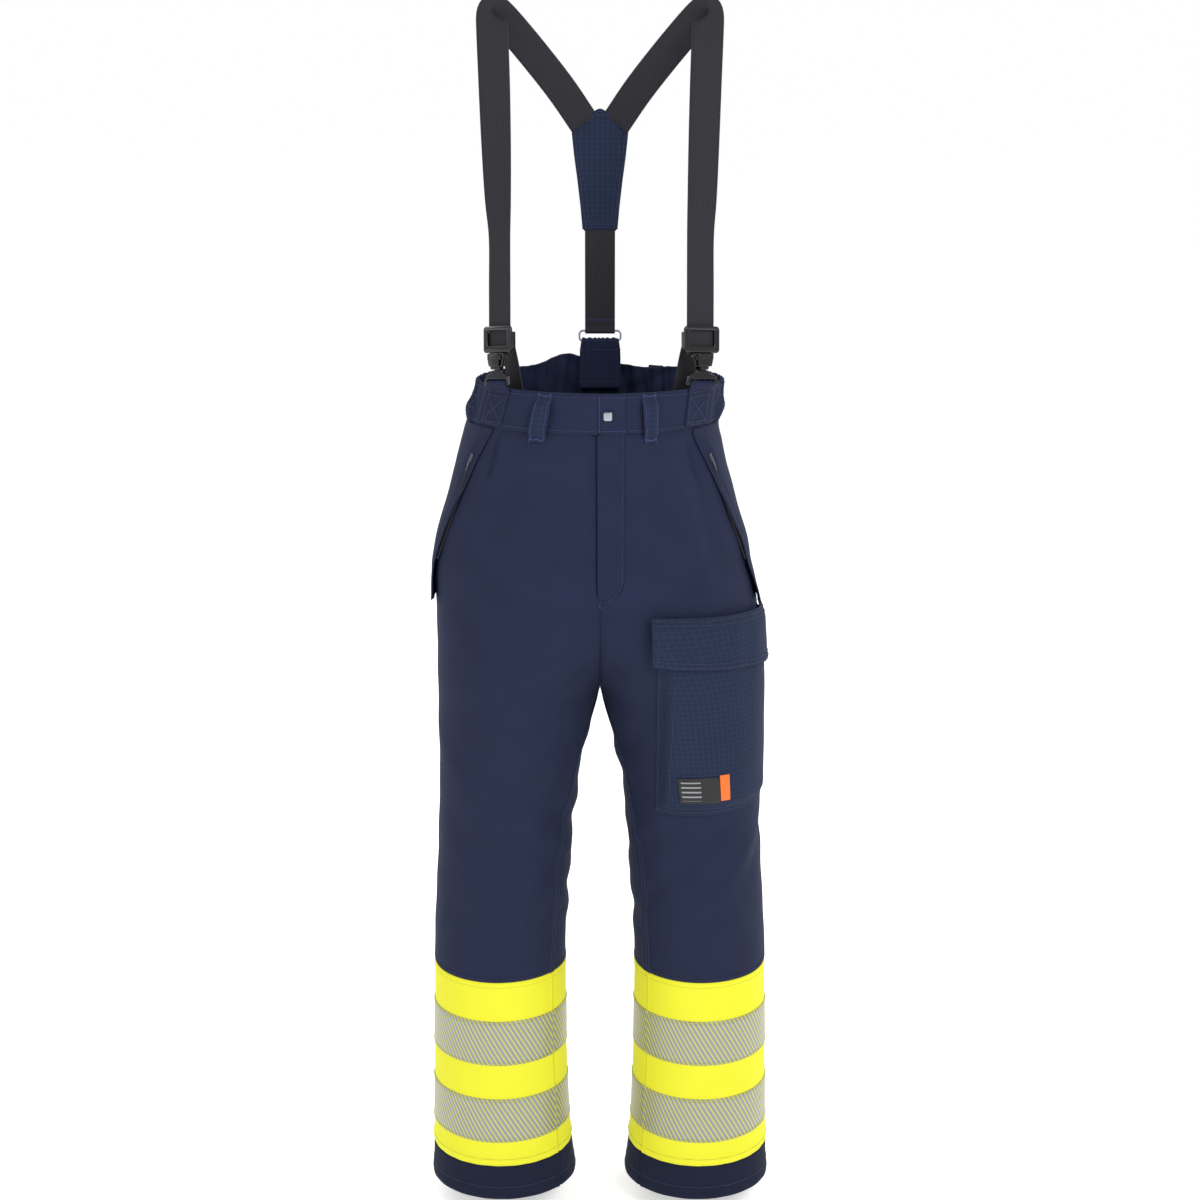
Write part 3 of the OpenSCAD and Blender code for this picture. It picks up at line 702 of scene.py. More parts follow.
class Finish:
    """One procedural material: a Principled shader and the nodes that feed it."""

    def __init__(self, name, colour, roughness, metallic=0.0, coat=0.0):
        self.material = bpy.data.materials.new(name)
        self.material.use_nodes = True
        self.material.diffuse_color = colour
        self.tree = self.material.node_tree
        self.shader = next(n for n in self.tree.nodes if n.type == "BSDF_PRINCIPLED")
        self.colour = colour
        self.give("Base Color", colour)
        self.give("Roughness", roughness)
        self.give("Metallic", metallic)
        self.give("Coat Weight", coat)

    def node(self, kind, inputs=None, **settings):
        made = self.tree.nodes.new(kind)
        for key, value in settings.items():
            setattr(made, key, value)
        for key, value in (inputs or {}).items():
            self.feed(made.inputs[key], value)
        return made

    def feed(self, socket, value):
        if isinstance(value, Num):
            value = value.socket
        if isinstance(value, bpy.types.NodeSocket):
            self.tree.links.new(value, socket)
        else:
            socket.default_value = value

    def give(self, name, value):
        self.feed(self.shader.inputs[name], value)

    def uv(self):
        """The flat cloth measures of a piece, in metres."""
        place_node = self.node("ShaderNodeUVMap", uv_map="cloth")
        parts = self.node("ShaderNodeSeparateXYZ", {0: place_node.outputs[0]})
        return place_node.outputs[0], Num(self, parts.outputs[0]), Num(self, parts.outputs[1])

    def spot(self):
        return self.node("ShaderNodeTexCoord").outputs["Object"]

    def noise(self, where, scale, detail=2.0, roughness=0.5):
        made = self.node("ShaderNodeTexNoise", {"Vector": where, "Scale": scale,
                                                "Detail": detail, "Roughness": roughness})
        return Num(self, made.outputs[0])

    def blend_colour(self, factor, low, high):
        made = self.node("ShaderNodeMix", {0: factor, 6: low, 7: high}, data_type="RGBA")
        return made.outputs[2]

    def bump(self, height, depth, strength=1.0):
        made = self.node("ShaderNodeBump", {"Height": height, "Distance": depth,
                                            "Strength": strength})
        self.give("Normal", made.outputs[0])


def rgb(r, g, b):
    """Screen colour values, 0 to 255, as the linear colour a shader takes."""
    parts = [v / 255 for v in (r, g, b)]
    return [v / 12.92 if v <= 0.04045 else ((v + 0.055) / 1.055) ** 2.4 for v in parts] + [1.0]


def scaled(colour, k):
    return [min(1.0, v * k) for v in colour[:3]] + [1.0]


def woven(name, colour, spread=0.32, grid=0.0, depth=0.25, roughness=0.82):
    """Twill cloth with a mixed yarn, and a raised ripstop grid where grid is over 0."""
    f = Finish(name, colour, roughness)
    where, u, v = f.uv()
    yarn = f.noise(where, 1500, 1.0)
    patch = f.noise(where, 26, 3.0)
    mix = (yarn - 0.5) * 1.5 + (patch - 0.5) * 0.5 + 0.5
    shade = f.blend_colour(mix.op("MAXIMUM", 0.0).op("MINIMUM", 1.0),
                           scaled(colour, 1 - spread), scaled(colour, 1 + spread))
    height = (u + v).wave(0.0019) * 0.35 + yarn * 0.5
    if grid:
        lines = u.line(grid, 0.0011).op("MAXIMUM", v.line(grid, 0.0011))
        shade = f.blend_colour(lines * 0.45, shade, scaled(colour, 1.8))
        height = height + lines * 0.8
    f.give("Base Color", shade)
    f.give("Specular IOR Level", 0.14)
    f.bump(height, depth * MM, 0.6)
    return f.material


def segmented(name, silver, trim):
    """Heat-applied reflective film in slanting bars with the bright cloth between them."""
    f = Finish(name, silver, 0.42)
    where, u, v = f.uv()
    slant = u * 0.82 + v * 0.57
    gap_line = slant.line(0.0064, 0.0016)
    grain = f.noise(where, 900, 1.0)
    shade = f.blend_colour(grain, scaled(silver, 0.9), scaled(silver, 1.1))
    f.give("Base Color", f.blend_colour(gap_line, shade, trim))
    f.give("Roughness", gap_line * 0.35 + 0.4)
    f.give("Metallic", (1.0 - gap_line) * 0.3)
    f.bump(1.0 - gap_line, 0.15 * MM, 0.6)
    return f.material


def webbing(name, colour):
    """Elastic webbing: lengthwise ribs and a fine cross weave."""
    f = Finish(name, colour, 0.75)
    where, u, v = f.uv()
    ribs = u.wave(0.0031)
    weft = v.wave(0.0016)
    grain = f.noise(where, 1300, 1.0)
    tone = ribs * 0.4 + weft * 0.25 + grain * 0.5
    f.give("Base Color", f.blend_colour(tone, scaled(colour, 0.55), scaled(colour, 1.5)))
    f.give("Specular IOR Level", 0.2)
    f.bump(ribs * 0.6 + weft * 0.4, 0.3 * MM, 0.7)
    return f.material


def moulded(name, colour, roughness, metallic=0.0, coat=0.0, scuff=0.1):
    """Plastic or metal with a faint unevenness in its shine."""
    f = Finish(name, colour, roughness, metallic, coat)
    grain = f.noise(f.spot(), 160, 3.0)
    f.give("Roughness", grain * scuff + (roughness - scuff / 2))
    return f.material


def fuzzy(name, colour):
    """Hook or loop tape."""
    f = Finish(name, colour, 0.95)
    grain = f.noise(f.spot(), 1100, 2.0)
    f.give("Base Color", f.blend_colour(grain, scaled(colour, 0.5), scaled(colour, 1.8)))
    f.bump(grain, 0.5 * MM, 0.8)
    return f.material


def printed(name, colour, ink):
    """A woven label with plain bars in place of any lettering."""
    f = Finish(name, colour, 0.6)
    _, u, v = f.uv()
    bars = v.line(0.0065, 0.0022) * u.between(0.004, 0.030) * v.between(0.004, 0.030)
    f.give("Base Color", f.blend_colour(bars * 0.8, colour, ink))
    f.bump((u + v).wave(0.0009), 0.1 * MM, 0.5)
    return f.material


MATS = {}


def make_finishes(colours):
    """Makes every finish; colours holds the cloth and trim colours from the panel."""
    shell, ripstop, lining = (list(colours[k]) for k in ("shell", "ripstop", "lining"))
    bright, silver = list(colours["bright"]), list(colours["silver"])
    thread = list(colours["thread"])
    MATS.update({
        "shell": woven("shell_cloth", shell),
        "hem": woven("hem_cloth", scaled(shell, 0.62)),
        "lining": woven("lining_cloth", lining, 0.2, roughness=0.6),
        "ripstop": woven("ripstop_cloth", ripstop, 0.22, grid=0.0068),
        "bright": woven("bright_cloth", bright, 0.07, depth=0.2, roughness=0.7),
        "tape": segmented("reflective_tape", silver, scaled(bright, 0.85)),
        "webbing": webbing("brace_webbing", rgb(38, 38, 43)),
        "thread": moulded("thread", thread, 0.7),
        "dark_thread": moulded("dark_thread", scaled(shell, 1.9), 0.7),
        "bright_thread": moulded("bright_thread", scaled(bright, 0.72), 0.7),
        "plastic": moulded("gloss_plastic", rgb(12, 12, 14), 0.2, coat=0.2),
        "steel": moulded("plated_steel", rgb(178, 181, 192), 0.3, 1.0),
        "rim": moulded("snap_rim", rgb(70, 72, 80), 0.4, 0.8),
        "zip_tape": fuzzy("zip_tape", rgb(20, 20, 24)),
        "zip_teeth": moulded("zip_teeth", rgb(17, 17, 20), 0.35),
        "slider": moulded("zip_slider", rgb(96, 97, 102), 0.35, 0.9),
        "hook_loop": fuzzy("hook_and_loop", rgb(24, 24, 29)),
        "label": printed("label_black", rgb(16, 16, 18), rgb(150, 152, 156)),
        "label_tab": printed("label_orange", rgb(238, 108, 28), rgb(238, 108, 28)),
    })


# ---------------------------------------------------------------- cloth of the pants
def rows(*marks, step=9.0):
    """Heights in metres through marks in mm, no further apart than step."""
    out = []
    for a, b in zip(marks, marks[1:]):
        n = max(1, int(math.ceil(abs(b - a) / step)))
        out += [a + (b - a) * i / n for i in range(n)]
    return np.array(out + [marks[-1]]) * MM


def columns(n, near=(0.012, 0.03, 0.05)):
    """Positions across a piece, closer together at both edges."""
    return np.unique(np.concatenate([np.linspace(0, 1, n), near, 1 - np.array(near)]))


def fly_edge(z):
    """The stitched side of the fly: straight, then a quarter ellipse to the middle."""
    t = np.clip((FLY_END + FLY_BEND - z) / FLY_BEND, 0, 1)
    return np.where(z > FLY_END, FLY_AXIS * np.sqrt(1 - t ** 2), 0.0)


# The inseam comes round to the front lower down: height and distance from the middle.
INSEAM = np.array([[-1100, 54], [-900, 62], [-772, 62], [-626, 53], [-575, 44], [-490, 26],
                   [-420, 4], [-399, 0.2], [0, 0.2]]) * MM


def inseam(z):
    """Angle of the front panel's inner edge."""
    return angle_at(z, np.interp(z, INSEAM[:, 0], INSEAM[:, 1]))


def felled(edges, width=8 * MM, rise=0.9 * MM):
    """Relief of a folded seam along the given edges: 0 is the first column, 1 the last."""
    def relief(z, a, t):
        total = 0 * a
        for edge in edges:
            line = a[:, :1] if edge == 0 else a[:, -1:]
            total = total + rise * ease(width * 1.3, width, np.radians(np.abs(a - line)) * 0.09)
        return total
    return relief


def seam_rows(body, side, z, angle, offsets, off=0.0, uneven=1.0, lift=0.25 * MM):
    """Rows of stitches beside a line on the cloth; offsets are distances round the leg."""
    for offset in offsets:
        a = angle + np.degrees(offset * MM / 0.09)
        stitch(body, cloth(side, z, a, off + lift, uneven))


def tucked(z, a, t):
    """The right front dips under the fly cover, so that its edge reads as a dark slit."""
    away = np.radians(np.abs(a - a[:, :1])) * 0.13
    slit = ease(FLY_END, FLY_END + 0.012, z)
    low = -2.4 * MM * ease(13 * MM, 2 * MM, away) * slit
    return low + felled((0,))(z, a, t) * (1 - slit)


def make_panels():
    """Front and back panels of both legs with their felled seams."""
    for side, name in ((1, "left"), (-1, "right")):
        z = rows(-50.2, -390, -402, -790 + 0.3)
        edge = fly_edge(z) + 0.2 * MM if side > 0 else np.where(z > FLY_END, 3.4 * MM, 0.2 * MM)
        front = np.where(z > CROTCH, angle_at(z, edge), inseam(z))
        back = np.where(z > CROTCH, angle_at(z, 0.2 * MM), 359.9 - inseam(z))
        panel = leg_piece("front_panel_cloth_" + name, side, z, -front, 0.0, columns(92),
                          1.6 * MM, MATS["shell"],
                          relief=felled((0,)) if side > 0 else tucked)
        place(panel, "root", "shell_navy", "front_panel_" + name)
        declare(panel, "hung", ["waistband_front_cloth_" + name])
        rear = leg_piece("back_panel_cloth_" + name, side, z, 0.15, back, columns(62),
                         1.6 * MM, MATS["shell"], relief=felled((0, 1) if side > 0 else (0,)))
        place(rear, "root", "shell_navy", "back_panel_" + name)
        declare(rear, "hung", ["waistband_back_cloth"])
        low = rows(-404, -790)
        seam_rows("root", side, low, -inseam(low), (1.8, 7.0), 0.9 * MM)
        hip = rows(-286, -790)
        seam_rows("root", side, hip, 0 * hip, (1.8, 7.0), 0.9 * MM)
        seat = rows(-54, -392)
        if side > 0:
            seam_rows("root", side, seat, angle_at(seat, 0.2 * MM), (-1.8, -7.0), 0.9 * MM)


def make_lining():
    """The inner layer of both legs, one tube each, open at the fly."""
    made = []
    for side in (1, -1):
        z = rows(-52, -390, -402, -1096, step=16)
        reach = np.where(z > FLY_END, (34 if side > 0 else 26) * MM, 0.6 * MM)
        front = np.minimum(angle_at(z, reach, -5 * MM), 179.4)
        back = np.minimum(angle_at(z, 0.6 * MM, -5 * MM), 179.4)

        def crumple(z, a, t):
            r = np.radians(a)
            return (0.5 * np.sin(9 * r + 40 * z) + 0.4 * np.sin(14 * r - 70 * z)) * MM
        made.append(leg_piece("lining_%d" % (side > 0), side, z, -front, back,
                              np.linspace(0, 1, 56), 0.7 * MM, MATS["lining"], off=-5.2 * MM,
                              relief=crumple))
    sizes = [FLATS.pop(p.name) for p in made]
    lining = join("lining_cloth", made)
    FLATS["lining_cloth"] = [sizes[0][0] + sizes[1][0], sizes[0][1], sizes[0][2] + sizes[1][2]]
    place(lining, "root", "lining_navy", "lining")
    declare(lining, "hung", ["waistband_back_cloth"])


def ring_piece(name, side, z, off, thick, material, relief=0.0, uneven=1.0, around=150):
    """A cloth tube round one leg."""
    near = np.array([-7, -5, -3.5, -2.2, -1.2, 0, 1.2, 2.2, 3.5, 5, 7])
    a = np.unique(np.concatenate([np.linspace(-180, 180, around + 1), near - 143]))
    zz, aa = np.meshgrid(z, a, indexing="ij")
    relief = relief(zz, aa) if callable(relief) else relief
    grid = cloth(side, zz, aa, off + relief, uneven)
    grid[:, -1] = grid[:, 0]
    return sheet_mesh(name, grid, chart(zz, aa * side), thick, material, side, closed=True)


def make_cuffs():
    """Bright cuffs, their reflective tapes and the dark hems of both legs."""
    for side, name in ((1, "left"), (-1, "right")):
        z = rows(-790.2, -794, -1040, -1046, -1052, step=8)

        def roll(z, a):
            puff = 1.4 * MM * np.exp(-((z - HEM_TOP - 6 * MM) / (5 * MM)) ** 2)
            top = 0.8 * MM * np.exp(-((z - CUFF_TOP + 3 * MM) / (3.5 * MM)) ** 2)
            ripple = 0.25 * MM * np.sin(np.radians(a) * 23 + side) * ease(0.03, 0, z - HEM_TOP)
            return puff + top + ripple + cuff_seam(z, a)
        cuff = ring_piece("hi_vis_cuff_cloth_" + name, side, z, 0.0, 1.7 * MM,
                          MATS["bright"], roll)
        place(cuff, "root", "hi_vis_yellow", "hi_vis_cuff_" + name)
        declare(cuff, "hung", ["front_panel_cloth_" + name])
        for where, base in (("upper", UPPER_TAPE), ("lower", LOWER_TAPE)):
            z = np.linspace(base + TAPE_H, base, 9)
            tape = ring_piece("tape_cloth_%s_%s" % (where, name), side, z, 0.75 * MM, 0.5 * MM,
                              MATS["tape"], cuff_seam)
            place(tape, "root", "reflective_silver", "reflective_tape_%s_%s" % (where, name))
            declare(tape, "laid", ["hi_vis_cuff_cloth_" + name])
            for edge in (base + 2 * MM, base + TAPE_H - 2 * MM):
                ring_row("root_bright", side, edge, 0.95 * MM)
        z = rows(-1052, -1096, -1099.5, step=6)

        def turned(z, a):
            low = 1.1 * MM * np.exp(-((z - LEG_END - 5 * MM) / (5 * MM)) ** 2)
            return low + 0.2 * MM * np.sin(np.radians(a) * 17 + z * 200) + cuff_seam(z, a)
        hem = ring_piece("hem_cloth_" + name, side, z, 0.0, 2.4 * MM, MATS["hem"], turned)
        place(hem, "root", "shell_navy", "hem_" + name)
        declare(hem, "folded", ["hi_vis_cuff_cloth_" + name])
        ring_row("root", side, LEG_END + 17 * MM, 0.3 * MM)
        low = rows(-794, -1050, step=6)
        line = -inseam(low) + np.degrees(3.8 / 90)
        stitch("root_bright", cloth(side, low, line, 2.1 * MM))
        ring_row("root_bright", side, HEM_TOP + 9 * MM, 1.0 * MM)
        ring_row("root_bright", side, CUFF_TOP - 7 * MM, 0.5 * MM)
        for offset in (2.5, 4.8):
            ring_row("root", side, CUFF_TOP + offset * MM, 0.5 * MM)


def cuff_seam(z, a):
    """The inseam on the cuff: a narrow raised fold beside a crease."""
    away = np.radians(a + inseam(z)) * 90
    return (0.9 * np.exp(-((away - 3.5) / 2.6) ** 2) - 1.3 * np.exp(-(away / 1.5) ** 2)) * MM


def ring_row(body, side, height, off):
    """A row of stitches round one leg."""
    a = np.linspace(-180, 180, 121)
    stitch(body, cloth(side, height + 0 * a, a, off))


def gathers(z, a, count, rise):
    """Upright pleats that soften towards the middle of the band."""
    r = np.radians(a)
    flow = np.sin(count * r + 1.2 * np.sin(3 * r) + 30 * z) + 0.5 * np.sin(count * 1.7 * r - 50 * z)
    return rise * flow


def band_roll(z):
    """The padded look of a folded band: full in the middle, drawn in at its stitching."""
    top = ease(0, -4 * MM, z) - 1
    low = ease(-BAND_H, -BAND_H + 4 * MM, z) - 1
    return (top + low) * 1.2 * MM


def make_waist():
    """The waistband: two front pieces, the back and the gathered sides."""
    z = rows(0, -2, -6, -44, -50, step=5)
    start = {1: 31.8, -1: 3.4}
    for side, name in ((1, "left"), (-1, "right")):
        front = -angle_at(z, start[side] * MM, 0.6 * MM)

        def soft(z, a, t):
            puff = 0.8 * MM * np.sin(np.radians(a) * 11 + side) * t * (1 - t) * 2
            return band_roll(z) + gathers(z, a, 34, 0.7 * MM) * ease(0.55, 1.0, t) + puff
        piece = leg_piece("waistband_front_cloth_" + name, side, z, front, -18.0, columns(44),
                          2.6 * MM, MATS["shell"], off=1.2 * MM, relief=soft)
        place(piece, "root", "shell_navy", "waistband_front_" + name)
        declare(piece, "folded", ["front_panel_cloth_" + name])
        for height, inset in ((-4.5, 0.5), (-45, 0.5)):
            line = np.linspace(float(front[0]) + inset, -18, 40)
            stitch("root", cloth(side, height * MM + 0 * line, line, 1.5 * MM))

    def ruched(z, a, t):
        r = np.radians(a)
        crush = np.sin(27 * r + 90 * z) * np.sin(11 * r - 130 * z + 1) * 1.8 * MM
        return band_roll(z) * 0.6 + (gathers(z, a, 40, 1.9 * MM) + crush) * ease(-0.05, 0.12, t)
    backs = [leg_piece("band_%d" % (side > 0), side, z, 46.0, angle_at(z, 0.0, 0.6 * MM),
                       np.linspace(0, 1, 90), 2.2 * MM, MATS["shell"], off=0.6 * MM,
                       relief=lambda z, a, t: ruched(z, a, t) * ease(1.0, 0.93, t))
             for side in (1, -1)]
    for piece in backs:
        for vertex in piece.data.vertices:
            x, height = vertex.co.x / MM, vertex.co.z / MM
            up = 13 * math.exp(-((x + 42) / 30) ** 2) - 4 * math.exp(-((x - 62) / 26) ** 2)
            vertex.co.z += up * MM * float(ease(-42, 0, height))
            vertex.co.y += 3 * MM * math.sin(x / 11) * float(ease(-42, 0, height)) * (
                1 - float(ease(95, 120, abs(x))))
    pair(backs, "waistband_back_cloth", 1.35, "root", "shell_navy", ["waistband_back"],
         "gathered", ["back_panel_cloth_left", "back_panel_cloth_right"])
    sides = []
    for side in (1, -1):
        def elastic(z, a, t):
            calm = ease(0, 0.06, t) * ease(1, 0.94, t)
            bulge = 4.5 * MM * calm * np.exp(-((z + 35 * MM) / (11 * MM)) ** 2)
            return bulge + band_roll(z) * 0.5 + gathers(z, a, 62, 1.5 * MM) * calm
        sides.append(leg_piece("side_%d" % (side > 0), side, z, -17.8, 45.8,
                               np.linspace(0, 1, 110), 2.0 * MM, MATS["shell"], off=1.2 * MM,
                               relief=elastic))
        for height in (-4.5, -17, -31, -45):
            line = np.linspace(-17, 45, 110)
            bulge = 4.5 * MM * math.exp(-((height + 35) / 11) ** 2)
            grid = cloth(side, height * MM + 0 * line, line,
                         1.5 * MM + bulge + gathers(height * MM, line, 62, 1.5 * MM))
            stitch("root", grid)
    pair(sides, "side_elastic_cloth", 1.5, "root", "shell_navy", ["side_elastics"],
         "gathered", ["waistband_back_cloth"])


def pair(pieces, name, full, body, slot, nodes, held, rests_on):
    sizes = [FLATS.pop(p.name) for p in pieces]
    made = join(name, pieces)
    FLATS[name] = [sum(s[0] for s in sizes), max(s[1] for s in sizes), sum(s[2] for s in sizes)]
    place(made, body, slot, *nodes)
    declare(made, held, rests_on, full)
    return made


def across(side, z, x0, x1, n, off, uneven=1.0):
    """A grid on the front between two distances from the middle plane."""
    x = np.broadcast_to(x0, z.shape)[:, None] + (
        np.broadcast_to(x1, z.shape) - np.broadcast_to(x0, z.shape))[:, None] * np.linspace(0, 1, n)
    zz = np.repeat(z[:, None], n, 1)
    return cloth(side, zz, -angle_at(zz, x, off), off, uneven), np.stack([x, zz], -1)


def make_fly():
    """The fly cover and the waist tab that closes over it, with the guard behind."""
    z = rows(-50.2, -225, -264, step=6)
    grid, uv = across(1, z, -3 * MM, np.maximum(fly_edge(z), -1.5 * MM), 16, 0.15 * MM)
    roll = np.exp(-(np.linspace(0, 1, 16) * 34 / 7) ** 2) * 1.7 * MM
    grid[..., 1] -= roll[None, :] * ease(FLY_END, FLY_END + 0.03, z)[:, None]
    cover = sheet_mesh("fly_cover_cloth", grid, uv, 1.6 * MM, MATS["shell"])
    hinge = ((FLY_AXIS, -0.1293, -0.13), (FLY_AXIS - 9 * MM, -0.1293, -0.13))
    bend(cover, "fly", hinge, "shell_navy", "fly_cover")
    declare(cover, "hung", ["waist_tab_cloth"])
    z = rows(-0.2, -3, -7, -43, -50, step=5)
    grid, uv = across(1, z, -3 * MM, 31.4 * MM, 14, 1.6 * MM)
    grid[..., 1] -= band_roll(z)[:, None]
    tab = sheet_mesh("waist_tab_cloth", grid, uv, 2.8 * MM, MATS["shell"])
    bend(tab, "fly", hinge, "shell_navy", "waist_tab")
    declare(tab, "folded", ["fly_cover_cloth"])
    z = rows(-6, -250, step=12)
    grid, uv = across(1, z, -5 * MM, 32 * MM, 10, -9.5 * MM)
    guard = place(sheet_mesh("fly_guard_cloth", grid, uv, 1.2 * MM, MATS["lining"]), "root",
                  "lining_navy", "fly_guard")
    declare(guard, "hung", ["waistband_front_cloth_right"])
    z = rows(-52, -262.5, step=4)
    low = rows(-52, -263.4, step=3)
    x = np.maximum(fly_edge(low) - 3.0 * MM, 0.3 * MM)
    stitch("root_fly", cloth(1, low, -angle_at(low, x, 0.5 * MM), 0.5 * MM))
    for height, x0, x1 in ((-4.5, -1, 30), (-45, -1, 30)):
        x = np.linspace(x0, x1, 16) * MM
        stitch("fly", cloth(1, height * MM + 0 * x, -angle_at(height * MM, x, 2 * MM), 2.0 * MM))
    up = rows(-4.5, -45, step=4)
    stitch("fly", cloth(1, up, -angle_at(up, -0.9 * MM, 2.3 * MM), 2.3 * MM))
    bar_tack("root", 1, -266 * MM, 0.0, 9 * MM, upright=True)


def bend(piece, body, hinge, slot, *nodes):
    """A piece whose sewn edge stays on the pants while the rest turns with its body."""
    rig.blend(piece, "root", body, *hinge)
    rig.replaces(piece, *nodes)
    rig.slot(piece, slot)


def bar_tack(body, side, height, x, length, upright=False, off=1.2 * MM, back=False):
    """A short dense zigzag that locks the end of a seam."""
    n = 15
    run = np.linspace(-length / 2, length / 2, n)
    swing = np.where(np.arange(n) % 2 == 0, 0.9, -0.9) * MM
    dz, dx = (run, swing) if upright else (swing, run)
    z = height + dz
    a = angle_at(z, x + dx, off)
    stitch(body, cloth(side, z, a if back else -a, off))


# ---------------------------------------------------------------- pockets, loops, labels
def make_belt_loops():
    """Standing loops for a belt, two on the front and two on the back."""
    made = {}
    half = 9.5 / 140 * 57.3
    for side in (1, -1):
        for centre, kind in ((-67.5 if side > 0 else -64.7, "front"), (62.0, "back")):
            z = np.concatenate([rows(-1.5, -10, step=1.5), rows(-12, -50, step=4),
                                rows(-52, -60.5, step=1.5)])
            stand = 2.2 + 6.2 * ease(-6, -15, z / MM) * ease(-56, -46, z / MM)

            def lift(zz, a, t, stand=stand):
                return (stand[:, None] + 0.3 * np.sin(np.pi * t)) * MM
            name = "loop_%s_%d" % (kind, side > 0)
            piece = leg_piece(name, side, z, centre - half, centre + half,
                              columns(7, (0.05, 0.12)), 1.6 * MM, MATS["ripstop"],
                              relief=lift, uneven=0)
            made.setdefault((kind, side), piece)
            for edge in (-half * 0.72, half * 0.72):
                stitch("root_loop", cloth(side, z, centre + edge + 0 * z, stand * MM + 0.25 * MM, 0))
            for height, rise in ((-3.6, 2.6), (-57.5, 2.6)):
                run = np.linspace(-half * 0.8, half * 0.8, 21)
                swing = np.where(np.arange(21) % 2 == 0, 0.9, -0.9) * MM
                stitch("root_loop", cloth(side, height * MM + swing, centre + run, rise * MM, 0))
    for side, name in ((1, "left"), (-1, "right")):
        loop = made["front", side]
        FLATS["belt_loop_cloth_" + name] = FLATS.pop(loop.name)
        loop.name = "belt_loop_cloth_" + name
        place(loop, "root", "ripstop_navy", "belt_loop_" + name)
        declare(loop, "stretched", ["waistband_front_cloth_" + name])
    pair([made["back", 1], made["back", -1]], "belt_loops_back_cloth", 1.0, "root",
         "ripstop_navy", ["belt_loops_back"], "stretched", ["waistband_back_cloth"])


FLAP_EDGE = np.array([[-283, -14], [-205, -21], [-157, -25], [-95, -33], [-55, -40]])
FLAP_HINGE = 9.0


def flap_edge(z):
    return np.interp(z / MM, FLAP_EDGE[:, 0], FLAP_EDGE[:, 1])


def flap_rise(z, t):
    """How far the hand pocket's flap stands off: close at the top, open at its tip."""
    h = z / MM
    edge = np.interp(h, [-283, -240, -190, -150, -130, -55], [8.5, 6, 4.4, 4.2, 1.9, 1.2])
    body = np.interp(h, [-283, -200, -110, -98, -76, -66, -55], [6, 5, 5.2, 7.4, 7.4, 4, 1.2])
    shape = edge + (body - edge) * ease(0, 0.2, t)
    roll = np.exp(-((t - 0.05) * 60 / 4.5) ** 2) * 1.5
    return ((shape - 1.0) * (1 - t) ** 1.3 + 1.0 + roll) * MM


def make_hand_pockets():
    """Slanted flaps with a rolled edge and the pocket bags."""
    z = rows(-51, -283, step=5)
    t = np.unique(np.concatenate([np.linspace(0, 1, 16), [0.02, 0.05, 0.08, 0.11, 0.15, 0.19]]))
    for side, name in ((1, "left"), (-1, "right")):
        flap = leg_piece("hand_pocket_flap_cloth_" + name, side, z, flap_edge(z), FLAP_HINGE, t,
                         1.6 * MM, MATS["shell"], off=0.6 * MM,
                         relief=lambda z, a, t: flap_rise(z, t))
        sewn = cloth(side, -0.17, FLAP_HINGE)
        free = cloth(side, -0.17, FLAP_HINGE - 8)
        bend(flap, "hand_flap_" + name, (sewn, free), "shell_navy", "hand_pocket_flap_" + name)
        declare(flap, "hung", ["back_panel_cloth_" + name])
        for share in (0.16, 0.20):
            a = flap_edge(z) * (1 - share) + FLAP_HINGE * share
            grid = cloth(side, z, a, 0.9 * MM + flap_rise(z, share))
            stitch("hand_flap_" + name, grid)
        a = FLAP_HINGE - 3 / 1.6
        share = (a - flap_edge(z)) / (FLAP_HINGE - flap_edge(z))
        stitch("root", cloth(side, z, a + 0 * z, 0.9 * MM + flap_rise(z, share)))
        zb = rows(-66, -322, step=12)
        wob = np.interp(zb / MM, [-320, -200, -66], [0.0, -8.0, -16.0])
        bag = leg_piece("hand_pocket_bag_cloth_" + name, side, zb, -66.0 + 0 * zb, -8.0 + wob,
                        np.linspace(0, 1, 14), 1.6 * MM, MATS["lining"], off=-2.5 * MM)
        place(bag, "root", "lining_navy", "hand_pocket_bag_" + name)
        declare(bag, "hung", ["front_panel_cloth_" + name])


def cargo_grid(z, t, over, off):
    """Points across the thigh pocket, with an overhang at both edges."""
    front = -angle_at(z, CARGO_FRONT - over * MM)
    rear = CARGO_REAR + over / 2.4
    zz, tt = np.meshgrid(z, t, indexing="ij")
    a = front[:, None] + (rear - front)[:, None] * tt
    return zz, a, cloth(1, zz, a, off(zz, tt) * MM, 0.35)


def cargo_puff(z, t):
    """The pocket's depth: bellows at both sides and the foot, fuller low down."""
    u = (CARGO_TOP - z) / (CARGO_TOP - CARGO_BOTTOM)
    wall = ease(0.01, 0.1, t) * ease(0.99, 0.88, t) * ease(0.98, 0.93, u)
    wall = wall * (1 - 0.62 * ease(0.45, 1.0, t))
    soft = 1.2 * np.sin(9 * t + 4 * u) * np.sin(np.pi * t) * np.sin(np.pi * u)
    dart = -1.6 * np.exp(-((t - 0.5 - 0.1 * u) / 0.06) ** 2) * ease(0.9, 0.3, u)
    return 0.4 + wall * (10.0 + 1.5 * np.sin(np.pi * u) + soft + dart)


